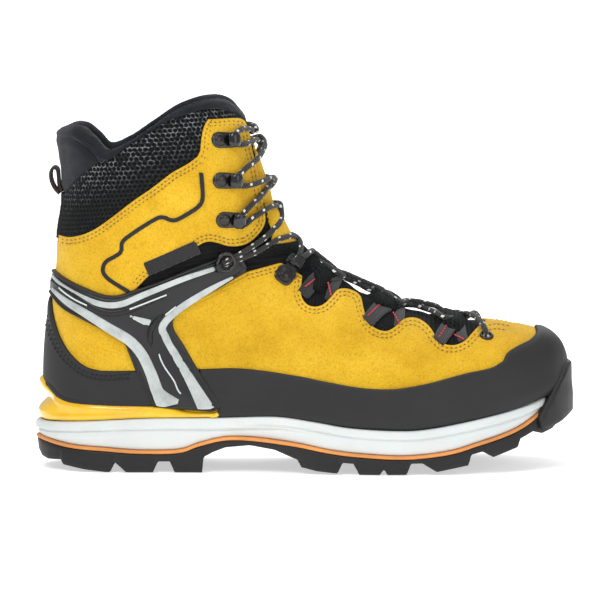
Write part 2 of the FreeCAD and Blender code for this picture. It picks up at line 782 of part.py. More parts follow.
def lock_plate():
    """Rounded plate of the locking eyelet with two ears that hold its clamp."""
    plate = Part.makeCylinder(4.6, LOCK_PLATE).fuse(Part.makeBox(10, 8, LOCK_PLATE, Vector(0, -4, 0)))
    for y in (-4.0, 4.0 - LOCK_PLATE):
        plate = plate.fuse(Part.makeBox(3.4, LOCK_PLATE, LOCK_EAR_HEIGHT, Vector(LOCK_EAR_START, y, 0)))
    rivet_hole = Part.makeCylinder(1.5, 4, Vector(0, 0, -1))
    return largest(plate.cut(across_pin(0.75, 12)).cut(rivet_hole))


def lock_clamp():
    """Toothed clamp on its pin; it tips down on the lace."""
    tip = Part.makeBox(CLAMP_LENGTH, CLAMP_WIDTH, 1.2, LOCK_PIN - Vector(0, CLAMP_WIDTH / 2, 0))
    return largest(across_pin(1.2, CLAMP_WIDTH).fuse(tip).fuse(across_pin(0.6, 8.0)))


def lock_seat(side):
    x, z = LOCKS[0]
    return seat(x, z, side, -LOCK_SINK, LOCK_TURN)


def make_lock_plates():
    feature("lock_plates", Part.makeCompound([turned(lock_plate(), lock_seat(side)) for side in (-1, 1)]))
    cap = Part.makeCylinder(3.4, 1.3, Vector(0, 0, LOCK_PLATE + 0.1))
    cap = cap.fuse(Part.makeCylinder(1.35, 1.6, Vector(0, 0, -0.1)))
    feature("lock_rivets", Part.makeCompound([turned(largest(cap), lock_seat(side)) for side in (-1, 1)]))


def make_lock_clamps():
    feature("lock_clamp_outer", turned(lock_clamp(), lock_seat(-1)))
    feature("lock_clamp_inner", turned(lock_clamp(), lock_seat(1)))


def make_toe_eyelets():
    radius = size("eyelet_radius")
    ring = Part.makeTorus(radius - 1, 0.9)
    eyelets = [turned(ring, seat(x, z, side, -1.5)) for x, z in TOE_EYELETS for side in (-1, 1)]
    feature("toe_eyelets", Part.makeCompound(eyelets))


def make_lace_loops():
    """Folded webbing loops along the throat."""
    thickness = 1.2
    loops = []
    for x, z in LOOPS:
        for side in (-1, 1):
            base = Part.makeBox(12, 9, thickness, Vector(-6, -4.5, 0))
            loops.append(turned(base, seat(x, z, side, -1.0, 40)))
    feature("lace_loops", Part.makeCompound(loops))


def strand(first, last, height):
    """Lace from the outer side at the first point over the front to the inner side."""
    start_place, start_angle = locate(*first)
    end_place, end_angle = locate(*last)
    steps = 6
    points = []
    for step in range(steps + 1):
        share = step / steps
        place_here = start_place + (end_place - start_place) * share
        angle = -start_angle + (end_angle + start_angle) * share
        points.append(skin_point(place_here, angle, -height))
    curve = Part.BSplineCurve()
    curve.interpolate(points)
    path = Part.Wire([curve.toShape()])
    tangent = curve.tangent(curve.FirstParameter)[0]
    circle = Part.Wire([Part.makeCircle(size("lace_radius"), points[0], tangent)])
    return path.makePipeShell([circle], True, False)


def make_laces():
    """Crossed strands; the ones that run up to the outer side lie on top."""
    low = 2.9
    high = low + 2 * size("lace_radius") + 0.4
    rungs = [(256, 80), (231, 84), (199, 93), (168, 108)]
    lower = []
    for here, above in zip(rungs[:-1], rungs[1:]):
        lower.append(strand(here, above, low))
        lower.append(strand(above, here, high))
    feature("lace_lower", Part.makeCompound([largest(piece) for piece in lower]))
    hooks = [(121, 152), (120, 168), (117, 189)]
    upper = []
    for here, above in zip(hooks[:-1], hooks[1:]):
        upper.append(strand(here, above, low))
        upper.append(strand(above, here, high))
    feature("lace_upper", Part.makeCompound([largest(piece) for piece in upper]))


# ---- small parts ------------------------------------------------------------------------------


def make_lace_guides():
    """Rings at the front ends of the brace, each held by a keeper that it swings in."""
    ring = Part.makeTorus(size("ring_radius"), size("ring_wire"))
    bore = size("ring_wire") + 0.65
    keepers = []
    for side in (-1, 1):
        hole = keeper(side, bore, 2 * KEEPER_LENGTH)
        keepers.append(keeper(side, KEEPER_RADIUS, KEEPER_LENGTH).cut(hole))
    feature("lace_guide_outer", turned(ring, guide_seat(-1)))
    feature("lace_guide_inner", turned(ring, guide_seat(1)))
    feature("guide_keepers", Part.makeCompound(keepers))


def make_pull_loop():
    """Folded webbing standing behind the collar, sewn down at its lower end."""
    width = size("pull_loop_width")
    web = size("webbing_thickness")
    tall = size("pull_loop_height")
    outline = [(12.2, 0), (9.6, 6), (7.6, tall)]
    leaf = [Vector(x, 0, 156 * KZ + z) for x, z in outline]
    curve = Part.BSplineCurve()
    curve.interpolate(leaf)
    back = [point + Vector(web, 0, 0.4) for point in reversed(leaf)]
    other = Part.BSplineCurve()
    other.interpolate(back)
    tip = Part.makeLine(leaf[-1], back[0])
    root = Part.makeLine(back[-1], leaf[0])
    wire = Part.Wire([curve.toShape(), tip, other.toShape(), root])
    face = Part.Face(wire)
    face.translate(Vector(0, -width / 2, 0))
    feature("pull_loop", face.extrude(Vector(0, width, 0)))


def make_heel_strip():
    width = size("pull_loop_width")
    strip = common(layer(-RUBBER - 0.1, -0.1), zone((BEHIND, 133), (30, 133), (30, 154.5), (BEHIND, 154.5)))
    strip = common(strip, Part.makeBox(40, width, 100, Vector(-20, -width / 2, 100)))
    feature("heel_strip", largest(strip))


def make_side_tab():
    thickness = size("tab_thickness")
    tab = common(layer(-thickness - 0.1, -0.1), zone((63, 118.6), (92, 131), (89, 138.6), (60, 125.8)),
                 Part.makeBox(200, 100, 300, Vector(0, -100, 0)))
    feature("side_tab", largest(tab))


REAR_INLAY_LOW = [(12, 107.3), (24, 99.6), (36, 93.5), (50, 88), (59, 80), (64, 69), (68.5, 57.5), (70, 45)]
REAR_INLAY_HIGH = [(84, 42), (76, 50), (72, 58), (67, 70), (61.5, 82), (51, 91),
                   (36, 97.6), (24, 103.6), (12, 110.6)]
FRONT_INLAY_REAR = [(113, 111), (101, 107), (86, 100), (76, 94), (73, 88), (73.5, 82), (79, 70), (90, 53)]
FRONT_INLAY_AHEAD = [(103, 41), (92, 58), (83, 71), (76, 83), (76, 88), (80, 92.5), (92, 99.5), (113, 113.5)]
INLAY_LEAST_VOLUME = 30.0


def make_brace_inlays():
    """Silver strips laid on the brace, one along each arm."""
    top = layer(-RUBBER - 0.9, -RUBBER - 0.2)
    rear = prism(REAR_INLAY_LOW, [(80, 41)], [(84, 40.4)], REAR_INLAY_HIGH)
    front = prism(FRONT_INLAY_REAR, [(93, 41.5)], [(103, 40)], FRONT_INLAY_AHEAD)
    pieces = common(top, rear).Solids + common(top, front).Solids
    kept = [piece for piece in pieces if piece.Volume > INLAY_LEAST_VOLUME]
    feature("brace_inlays", Part.makeCompound(kept))


def build():
    make_outsole()
    make_stripe()
    make_midsole()
    make_shank()
    make_heel_frame()
    make_insole_board()
    make_footbed()
    make_rand()
    make_heel_counter()
    make_ankle_brace()
    make_brace_inlays()
    make_vamp()
    make_quarter()
    make_flex_panel()
    make_cuff()
    make_collar_mesh()
    make_collar_cover()
    make_achilles_pad()
    make_collar_padding()
    make_lining_upper()
    make_tongue_upper()
    make_tongue_lower()
    make_gusset()
    make_toe_puff()
    make_heel_stiffener()
    make_lining_lower()
    make_hooks()
    make_hook_rivets()
    make_lock_plates()
    make_lock_clamps()
    make_toe_eyelets()
    make_lace_loops()
    make_laces()
    make_lace_guides()
    make_pull_loop()
    make_heel_strip()
    make_side_tab()


build()
doc.recompute()
os.makedirs("parts", exist_ok=True)
for item in doc.Objects:
    if "Invalid" in item.State or "Error" in item.State:
        raise RuntimeError("feature failed: " + item.Label)
for item in PARTS:
    if item.Shape.isNull() or not item.Shape.isValid():
        raise RuntimeError("bad shape: " + item.Label)
    item.Shape.exportStep("parts/%s.step" % item.Label)
    print(item.Label, len(item.Shape.Solids), round(item.Shape.Volume / 1000, 2), "cm3")
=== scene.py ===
import math

import bpy
import numpy as np
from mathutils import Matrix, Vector, noise


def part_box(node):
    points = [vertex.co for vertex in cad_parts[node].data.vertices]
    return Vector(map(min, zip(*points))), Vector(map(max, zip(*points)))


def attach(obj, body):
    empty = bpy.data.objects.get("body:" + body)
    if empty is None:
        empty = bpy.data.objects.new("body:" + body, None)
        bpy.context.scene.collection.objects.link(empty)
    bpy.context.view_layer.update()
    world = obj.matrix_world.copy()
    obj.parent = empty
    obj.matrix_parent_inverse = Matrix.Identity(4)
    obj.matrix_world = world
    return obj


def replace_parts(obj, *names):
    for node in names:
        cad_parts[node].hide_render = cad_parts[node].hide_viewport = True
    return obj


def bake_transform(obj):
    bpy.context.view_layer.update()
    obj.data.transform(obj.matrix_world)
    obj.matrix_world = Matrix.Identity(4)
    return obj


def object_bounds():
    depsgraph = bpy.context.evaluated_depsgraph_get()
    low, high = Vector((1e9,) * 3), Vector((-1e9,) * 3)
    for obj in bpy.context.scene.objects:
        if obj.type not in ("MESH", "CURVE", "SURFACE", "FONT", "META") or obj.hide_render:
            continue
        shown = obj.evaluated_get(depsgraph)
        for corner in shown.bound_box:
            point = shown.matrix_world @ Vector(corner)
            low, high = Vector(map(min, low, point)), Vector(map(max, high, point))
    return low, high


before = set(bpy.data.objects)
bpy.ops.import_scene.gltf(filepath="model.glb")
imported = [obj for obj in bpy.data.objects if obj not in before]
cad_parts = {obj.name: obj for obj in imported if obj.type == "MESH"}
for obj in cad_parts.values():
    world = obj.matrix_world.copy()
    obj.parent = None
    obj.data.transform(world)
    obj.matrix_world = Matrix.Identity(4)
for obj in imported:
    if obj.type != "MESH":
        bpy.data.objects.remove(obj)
cad_low, cad_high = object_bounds()

# Everything below is drawn in plan millimetres: x from the back of the heel, z from the ground.
# row() turns them into metres in the frame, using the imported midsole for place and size.
PLAN_SOLE_LENGTH = 299.0
sole_low, sole_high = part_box("midsole")
HEEL = sole_low[0]
MM = (sole_high[0] - sole_low[0]) / PLAN_SOLE_LENGTH


def row(points):
    """Plan millimetres to metres in the frame."""
    points = np.asarray(points, float) * MM
    points[..., 0] += HEEL
    return points


# Lines plan of the upper, the same as the CAD's: each section runs across the boot along a line of
# the side view. Back or bottom end, front or top end, where it is widest, half width outside and
# inside, roundness towards the back end and towards the front end.
STATIONS = np.array([
    (17, 226, 108, 232, 0.47, 40.0, 40.0, 2.2, 2.1),
    (12.5, 197, 119, 203, 0.47, 41.0, 41.0, 2.2, 2.1),
    (12.5, 176, 126.5, 181, 0.47, 41.5, 41.5, 2.2, 2.1),
    (14.3, 155, 131.5, 163, 0.46, 41.0, 41.0, 2.2, 2.1),
    (11.5, 135, 134, 151, 0.44, 39.5, 40.0, 2.2, 2.1),
    (10.4, 115, 138, 143, 0.40, 38.0, 39.0, 2.1, 2.0),
    (7.2, 92, 143, 134, 0.34, 36.5, 37.5, 2.0, 1.9),
    (4.6, 65, 148, 127, 0.30, 36.0, 36.5, 2.0, 1.9),
    (4.0, 30, 154, 121, 0.30, 36.0, 35.5, 2.1, 1.9),
    (4.0, -5, 160, 116, 0.38, 36.0, 34.5, 2.6, 2.0),
    (12, -20, 167, 112.5, 0.42, 36.5, 34.0, 3.0, 2.0),
    (60, -20, 175, 108.5, 0.44, 38.5, 33.5, 3.2, 2.0),
    (110, -20, 187, 101, 0.48, 43.0, 38.0, 3.5, 2.1),
    (160, -20, 199, 97, 0.50, 48.5, 44.5, 4.0, 2.1),
    (208, -20, 215, 90.5, 0.54, 52.0, 48.5, 4.0, 2.2),
    (240, -20, 240, 85, 0.58, 51.0, 48.5, 4.0, 2.4),
    (262, -20, 262, 83, 0.60, 47.0, 45.5, 4.0, 2.6),
    (280, -20, 280, 80, 0.62, 39.5, 39.0, 4.0, 2.6),
    (292, -20, 292, 76, 0.64, 29.5, 30.0, 4.0, 2.6),
    (298.5, -20, 298.5, 70.5, 0.66, 19.5, 20.0, 4.0, 2.6),
    (301.6, -20, 301.6, 64, 0.68, 11.0, 11.0, 3.5, 2.4),
    (302.6, -20, 302.6, 58, 0.70, 5.0, 5.0, 3.0, 2.2),
    (302.8, -20, 302.8, 50, 0.70, 0.4, 0.4, 3.0, 2.2),
])
TOE_START = 250.0
TOE_END = 302.6
HALVINGS = 36


def smooth(value):
    """Soft step from 0 to 1."""
    value = np.clip(value, 0.0, 1.0)
    return value * value * (3 - 2 * value)


def peak(value, centre, width):
    """Soft bump of height 1."""
    return np.exp(-((value - centre) / width) ** 2)


def rounding(share):
    """Drop of a rounded edge: 1 at the edge, 0 from share 1 inwards."""
    return 1 - np.sqrt(np.clip(1 - (1 - np.clip(share, 0, 1)) ** 2, 0, 1))


def spline(before, here, after, beyond, part):
    """Smooth curve from here to after."""
    bend = 2 * before - 5 * here + 4 * after - beyond
    twist = 3 * (here - after) + beyond - before
    return here + 0.5 * part * (after - before + part * (bend + part * twist))


def unit(vectors):
    """The same directions with length 1."""
    return vectors / np.maximum(np.linalg.norm(vectors, axis=-1, keepdims=True), 1e-9)


def travelled(path):
    """Distance along a path at each of its points."""
    return np.concatenate([[0], np.cumsum(np.linalg.norm(np.diff(path, axis=0), axis=1))])


def at_marks(path, travel, marks):
    """Values of a path where its travel reaches the marks."""
    return np.stack([np.interp(marks, travel, column) for column in path.T], 1)


def centre_shift(x):
    """The toe swings towards the inner side."""
    return 8.0 * smooth((x - 150.0) / 150.0)


def stations(place):
    """Section values at places between the stations, by a smooth curve through them."""
    place = np.asarray(place, float)
    last = len(STATIONS) - 1
    index = np.clip(np.floor(place).astype(int), 0, last - 1)
    part = (place - index)[..., None]
    nearby = [STATIONS[np.clip(index + step, 0, last)] for step in (-1, 0, 1, 2)]
    return spline(*nearby, part)


def section(place):
    """The nine values of the sections, in the order of the table."""
    return np.moveaxis(stations(place), -1, 0)


def skin(place, angle, depth=0.0):
    """Points of the upper; angle turns from the section's front end, positive to the inner side."""
    place, angle, depth = np.broadcast_arrays(np.asarray(place, float), np.asarray(angle, float),
                                              np.asarray(depth, float))
    back_x, back_z, front_x, front_z, widest, outer, inner, back_power, front_power = section(place)
    toe = depth * smooth((front_x - TOE_START) / (TOE_END - TOE_START))
    back_x = back_x - toe
    front_x = front_x - toe
    length = np.hypot(front_x - back_x, front_z - back_z)
    run_x = (front_x - back_x) / length
    run_z = (front_z - back_z) / length
    cosine = np.cos(angle)
    sine = np.sin(angle)
    middle = length * widest
    width = np.where(sine > 0, inner, outer) - depth
    ahead = middle + (length - depth - middle) * np.abs(cosine) ** (2 / front_power)
    behind = middle - (middle - depth) * np.abs(cosine) ** (2 / back_power)
    along = np.where(cosine >= 0, ahead, behind)
    power = np.where(cosine >= 0, front_power, back_power)
    side = np.sign(sine) * np.abs(sine) ** (2 / power)
    x = back_x + run_x * along
    z = back_z + run_z * along
    return np.stack([x, centre_shift(x) + width * side, z], -1)


def locate(points):
    """Sections and angles (outer side, positive) of the points that show at x, z in the side view."""
    points = np.asarray(points, float)
    x, z = points[..., 0], points[..., 1]
    low = np.zeros(x.shape)
    high = np.full(x.shape, len(STATIONS) - 1.0)
    for _ in range(HALVINGS):
        place = (low + high) / 2
        back_x, back_z, front_x, front_z = section(place)[:4]
        above = (front_x - back_x) * (z - back_z) - (front_z - back_z) * (x - back_x) > 0
        high = np.where(above, place, high)
        low = np.where(above, low, place)
    back_x, back_z, front_x, front_z, widest, _, _, back_power, front_power = section(place)
    run_x = front_x - back_x
    run_z = front_z - back_z
    length = np.hypot(run_x, run_z)
    along = ((x - back_x) * run_x + (z - back_z) * run_z) / length
    middle = length * widest
    ahead = np.clip((along - middle) / (length - middle), 0, 1)
    behind = np.clip((middle - along) / middle, 0, 1)
    angle = np.where(along >= middle, np.arccos(ahead ** (front_power / 2)),
                     math.pi - np.arccos(behind ** (back_power / 2)))
    return place, angle


def skin_normal(place, angle):
    """Direction square to the skin, which may point either way."""
    step = 0.02
    turn = 0.01
    along = skin(place, angle + turn) - skin(place, angle - turn)
    across = skin(place + step, angle) - skin(place - step, angle)
    return unit(np.cross(along, across))


def on_skin(points, side, lift=0.0):
    """Positions and outward normals at side-view points on one side of the boot, raised by lift."""
    place, angle = locate(points)
    spot = skin(place, side * angle)
    normal = skin_normal(place, side * angle)
    flip = np.sign(normal[..., 1] * side)
    normal = normal * np.where(flip == 0, 1, flip)[..., None]
    lift = np.asarray(lift, float)
    return spot + normal * (lift[..., None] if lift.ndim else lift), normal


# ---- curves of the side view ------------------------------------------------------------------


def part_way(mark, low, high, start, end):
    """From start to end while the mark goes from low to high."""
    share = (mark - low) / (high - low)
    return start * (1 - share) + end * share


def curve(points, step=1.2):
    """Smooth run through points, as even steps; its knots follow the root of the spacing."""
    points = np.asarray(points, float)
    if len(points) == 2:
        count = max(int(np.hypot(*(points[1] - points[0])) / step), 1)
        return points[0] + (points[1] - points[0]) * np.linspace(0, 1, count + 1)[:, None]
    padded = np.vstack([2 * points[0] - points[1], points, 2 * points[-1] - points[-2]])
    gaps = np.linalg.norm(np.diff(padded, axis=0), axis=1)
    knots = np.concatenate([[0], np.cumsum(np.sqrt(gaps) + 1e-9)])
    runs = []
    for first in range(len(padded) - 3):
        near = padded[first:first + 4]
        knot = knots[first:first + 4]
        count = max(int(gaps[first + 1] / step), 1)
        mark = np.linspace(knot[1], knot[2], count, endpoint=False)[:, None]
        legs = [part_way(mark, knot[i], knot[i + 1], near[i], near[i + 1]) for i in range(3)]
        bends = [part_way(mark, knot[i], knot[i + 2], legs[i], legs[i + 1]) for i in range(2)]
        runs.append(part_way(mark, knot[1], knot[2], *bends))
    runs.append(points[-1:])
    return np.vstack(runs)


def outline(*stretches):
    """Closed outline from smooth runs joined by straight lines."""
    runs = [curve(stretch) if len(stretch) > 1 else np.array(stretch, float) for stretch in stretches]
    return np.vstack(runs)


def lift_line(line, height):
    """A side-view line moved up."""
    return [(x, z + height) for x, z in line]


def inside_distance(points, ring):
    """Distance from points to a closed outline, positive inside."""
    start = ring
    end = np.roll(ring, -1, axis=0)
    best = np.full(len(points), 1e9)
    inside = np.zeros(len(points), bool)
    for (ax, az), (bx, bz) in zip(start, end):
        dx, dz = bx - ax, bz - az
        size = dx * dx + dz * dz
        if size < 1e-12:
            continue
        px, pz = points[:, 0] - ax, points[:, 1] - az
        share = np.clip((px * dx + pz * dz) / size, 0, 1)
        best = np.minimum(best, np.hypot(px - share * dx, pz - share * dz))
        crosses = (az > points[:, 1]) != (bz > points[:, 1])
        if dz != 0:
            inside ^= crosses & (points[:, 0] < dx * (points[:, 1] - az) / dz + ax)
    return np.where(inside, best, -best)


# Edges of the parts as (x, z) points. SCALLOPS is the vamp's top edge: rear line, peak, three scallops.
# Outlines run BEHIND the heel and AHEAD of the toe, where there is no skin, to go right round the boot.
SOLE_SEAT = [(-12, 27), (4.5, 27), (15, 27.7), (40, 29.3), (62, 30.4), (101, 31), (138, 32), (157, 29.6),
             (180, 26), (212, 24.6), (227, 26), (249, 30), (269, 34.5), (284, 39), (296, 43.5), (320, 52)]
STRIPE_TOP = [(-12, 19), (0, 18.3), (20, 15), (39, 13.8), (58, 12.5), (83, 13.2), (93, 16.7), (110, 20.4),
              (144, 17.8), (169, 13.4), (187, 11.6), (212, 10.7), (237, 13.5), (252, 17.8), (266, 22),
              (276, 26), (284, 31), (290, 36), (300, 45)]
RAND_TOP = [(94, 58.6), (117, 59), (150, 55), (163, 52.6), (186, 49), (204, 48.5), (222, 51.4),
            (245, 57), (260, 60), (266, 63.3)]
CAP_TOP = [(266, 63.3), (268.5, 67.5), (274, 70.6), (283, 74.3), (286, 77.5), (283, 82), (278, 90)]
COUNTER_TOP = [(8, 98.2), (10, 86), (14.4, 74.5), (21, 65.4), (29, 59.6), (37.5, 57.6), (54.6, 58.6)]
BRACE_TOP = [(9.4, 113.3), (18, 109), (29, 104.6), (40, 101), (47, 101), (56, 104), (73, 110), (89, 116.6),
             (101, 120.8), (112, 124)]
BRACE_REAR = [(66, 38.9), (57, 57.5), (53, 67.5), (50, 74), (40, 80), (26.5, 86.5), (15.5, 92), (8.3, 99)]
CUFF_TOP = [(11, 133.5), (18, 133), (26.5, 135), (34, 138.6), (43, 145), (56, 155), (67, 162.6), (78, 171),
            (87, 176), (92.5, 180)]
CUFF_FRONT = [(98.6, 201), (118, 200), (121, 195), (124, 181), (126.5, 171.5), (130, 151), (131, 141),
              (126, 133), (119, 128.5), (110, 128), (104, 130), (98, 131), (90, 127), (77, 119.5),
              (66, 113), (58, 105)]
COLLAR_SEAM = [(8, 153), (14, 156.5), (25, 168), (36, 176.5), (43, 178.6), (51, 184.6), (64, 193.4),
               (78, 201.6), (94.6, 206.3), (105.5, 206.4), (114.7, 203.4), (121, 198)]
COLLAR_RIM = [(6, 193.5), (14.4, 195), (23, 197), (32, 191), (40, 184), (51, 187.5), (66, 197), (82, 207),
              (102, 213), (112, 211.5), (118.5, 205), (124, 197)]
PAD_FRONT = [(36, 176.5), (34.5, 180), (29.5, 185), (23, 189.5), (14.6, 191), (6, 191)]
SCALLOPS = [
    [(119, 112.9), (140, 118)],
    [(140, 118), (152, 110.5)],
    [(152, 110.5), (151.6, 99), (155, 94.6), (159.5, 93.6), (164, 95), (168.5, 99), (172, 102.5),
     (176, 103.2), (182, 101.4), (185.5, 98.6), (187, 92.5), (189.5, 85.5), (194, 81.8), (200, 80.6),
     (205, 83), (209.5, 86.4), (214, 87.2), (219, 86.2), (224.5, 82.5), (228.5, 77), (233, 73.4),
     (239, 72.8), (244.5, 75), (249, 79), (254, 82.5), (262, 84), (270, 83)],
]
BEHIND = -25.0
AHEAD = 335.0
SIDES = (-1, 1)
FLOOR = lift_line(SOLE_SEAT, 0.2)


# ---- mesh tools -------------------------------------------------------------------------------

# A row of mesh data: position, outward normal, flat coordinates. VIEW picks the side view.
X, Y, Z = 0, 1, 2
VIEW = [X, Z]
POS = slice(0, 3)
NRM = slice(3, 6)
UV = slice(6, 8)


def grid_faces(rows, columns, wrap):
    """Two triangles for each cell of a grid, whose columns may close on themselves."""
    index = np.arange(rows * columns).reshape(rows, columns)
    right = np.roll(index, -1, axis=1) if wrap else index[:, 1:]
    left = index if wrap else index[:, :-1]
    a, b, c, d = left[:-1], right[:-1], right[1:], left[1:]
    return np.vstack([np.stack([a, b, c], -1).reshape(-1, 3), np.stack([a, c, d], -1).reshape(-1, 3)])


def thick_grid(outer, inner, rows, columns):
    """One closed plate between two equal grids of points: its points and faces."""
    flat_faces = grid_faces(rows, columns, False)
    index = np.arange(rows * columns).reshape(rows, columns)
    loop = np.concatenate([index[0], index[1:, -1], index[-1, -2::-1], index[-2:0:-1, 0]])
    following = np.roll(loop, -1)
    count = rows * columns
    rim = np.vstack([np.stack([loop, following, following + count], 1),
                     np.stack([loop, following + count, loop + count], 1)])
    return np.vstack([outer, inner]), np.vstack([flat_faces, flat_faces[:, ::-1] + count, rim])


def body_grid(cell):
    """The whole upper as fine triangles, in rows of about one cell; its flat width is that of the leg."""
    columns = 220
    girth_radius = 42.0
    lowest = 15.0
    fine = np.linspace(0.05, len(STATIONS) - 1.0, 3000)
    back = skin(fine, math.pi)
    front = skin(fine, 0.0)
    wide = skin(fine, -math.pi / 2)
    travel = [np.linalg.norm(np.diff(path, axis=0), axis=1) for path in (back, front, wide)]
    steps = np.maximum(np.maximum(travel[0] * (back[1:, 2] > 5), travel[1]), travel[2])
    total = np.concatenate([[0], np.cumsum(steps)])
    rows = int(total[-1] / cell)
    places = np.interp(np.linspace(0, total[-1], rows), total, fine)
    angles = np.linspace(0, 2 * math.pi, columns, endpoint=False) + math.pi / columns
    place, angle = np.meshgrid(places, angles, indexing="ij")
    points = skin(place, angle)
    normal = skin_normal(place, angle)
    centre = points.mean(axis=1, keepdims=True)
    outward = np.sign(((points - centre) * normal).sum(-1))
    normal = normal * np.where(outward == 0, 1, outward)[..., None]
    seam_free = np.where(angle > math.pi, angle - 2 * math.pi, angle)
    flat = np.stack([seam_free * girth_radius, np.interp(place, fine, total)], -1)
    data = np.concatenate([points, normal, flat], -1).reshape(-1, UV.stop)
    faces = grid_faces(rows, columns, True)
    corner = data[faces][:, :, POS]
    turned = np.cross(corner[:, 1] - corner[:, 0], corner[:, 2] - corner[:, 0])
    wrong = (turned * data[faces[:, 0]][:, NRM]).sum(-1) < 0
    faces[wrong] = faces[wrong][:, ::-1]
    keep = corner[:, :, Z].max(axis=1) > lowest
    return tidy(data, faces[keep])


def tidy(data, faces):
    """Drops the rows that no face uses."""
    used = np.unique(faces)
    table = np.full(len(data), -1)
    table[used] = np.arange(len(used))
    return data[used], table[faces]


def split(data, faces, values, level, keep_below=False):
    """Cuts triangles along values = level; keeps the part above it, or both parts."""
    value = values - level
    value = np.where(np.abs(value) < 1e-4, 1e-4, value)
    above = value > 0
    count = above[faces].sum(axis=1)
    whole = faces[count == 3]
    under = faces[count == 0]
    mixed = faces[(count > 0) & (count < 3)]
    if not len(mixed):
        kept = np.vstack([whole, under]) if keep_below else whole
        return data, kept, values
    flags = above[mixed]
    lone_above = flags.sum(axis=1) == 1
    lone = np.where(lone_above, flags.argmax(axis=1), (~flags).argmax(axis=1))
    order = (lone[:, None] + np.arange(3)) % 3
    mixed = np.take_along_axis(mixed, order, 1)
    pairs = np.sort(np.concatenate([mixed[:, [0, 1]], mixed[:, [0, 2]]]), axis=1)
    unique, back = np.unique(pairs, axis=0, return_inverse=True)
    back = back.reshape(-1)
    share = value[unique[:, 0]] / (value[unique[:, 0]] - value[unique[:, 1]])
    fresh = data[unique[:, 0]] + (data[unique[:, 1]] - data[unique[:, 0]]) * share[:, None]
    fresh_values = np.full(len(unique), float(level))
    first = back[:len(mixed)] + len(data)
    second = back[len(mixed):] + len(data)
    tip = np.stack([mixed[:, 0], first, second], 1)
    rest = np.concatenate([np.stack([first, mixed[:, 1], mixed[:, 2]], 1),
                           np.stack([first, mixed[:, 2], second], 1)])
    lone_twice = np.concatenate([lone_above, lone_above])
    kept = [whole, tip[lone_above], rest[~lone_twice]]
    if keep_below:
        kept += [under, tip[~lone_above], rest[lone_twice]]
    return np.vstack([data, fresh]), np.vstack(kept), np.concatenate([values, fresh_values])


def edge_flags(faces, count):
    """Which vertices lie on the open edge."""
    edges = np.sort(np.concatenate([faces[:, [0, 1]], faces[:, [1, 2]], faces[:, [2, 0]]]), axis=1)
    unique, times = np.unique(edges, axis=0, return_counts=True)
    flags = np.zeros(count, bool)
    flags[unique[times == 1].reshape(-1)] = True
    return flags


def add_to_scene(name, data):
    obj = bpy.data.objects.new(name, data)
    bpy.context.scene.collection.objects.link(obj)
    return obj


def make_mesh(name, points, faces, material, flat=None, smooth_shade=True):
    """Object from plan-millimetre points."""
    mesh = bpy.data.meshes.new(name)
    mesh.vertices.add(len(points))
    mesh.vertices.foreach_set("co", row(points).astype(np.float32).reshape(-1))
    faces = np.asarray(faces)
    sides = faces.shape[1]
    mesh.loops.add(faces.size)
    mesh.loops.foreach_set("vertex_index", faces.reshape(-1).astype(np.int32))
    mesh.polygons.add(len(faces))
    mesh.polygons.foreach_set("loop_start", np.arange(0, faces.size, sides, dtype=np.int32))
    mesh.polygons.foreach_set("loop_total", np.full(len(faces), sides, dtype=np.int32))
    mesh.update(calc_edges=True)
    if flat is not None:
        layer = mesh.uv_layers.new(name="flat")
        layer.data.foreach_set("uv", np.asarray(flat)[faces.reshape(-1)].astype(np.float32).reshape(-1))
    mesh.validate()
    if smooth_shade:
        mesh.polygons.foreach_set("use_smooth", np.ones(len(mesh.polygons), bool))
    mesh.materials.append(material)
    return add_to_scene(name, mesh)


BODY_DATA, BODY_FACES = body_grid(0.95)

FLEX = np.array([70.0, 112.0])
FLEX_SLOPE = math.radians(20)
FLEX_LINE = np.array([-math.sin(FLEX_SLOPE), math.cos(FLEX_SLOPE)])
FLEX_START = -2.0
FLEX_END = 15.0


def flex_point(distance):
    spot = FLEX + FLEX_LINE * distance
    return tuple(row([spot[0], 0, spot[1]]))


def follow(obj, body):
    """Rides on a body; for 'flex' it only bakes its placement into its points."""
    if body == "flex":
        flex_point(FLEX_START)
        flex_point(FLEX_END)
        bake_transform(obj)
    else:
        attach(obj, body)


def region(ring, side, rings):
    """Part of the upper inside an outline, with rows of points along its edge."""
    seen = BODY_DATA[:, VIEW]
    low = ring.min(axis=0) - 6
    high = ring.max(axis=0) + 6
    near = ((seen > low) & (seen < high)).all(axis=1)
    faces = BODY_FACES[near[BODY_FACES].any(axis=1)]
    data, faces = tidy(BODY_DATA, faces)
    if side:
        across = side * (data[:, Y] - centre_shift(data[:, X]))
        data, faces, across = split(data, faces, across, 0.0)
        data, faces = tidy(data, faces)
    value = inside_distance(data[:, VIEW], ring)
    data, faces, value = split(data, faces, value, 0.0)
    for level in rings:
        data, faces, value = split(data, faces, value, level, keep_below=True)
    data, faces = tidy(np.column_stack([data, value]), faces)
    return data[:, :-1], faces, data[:, -1]


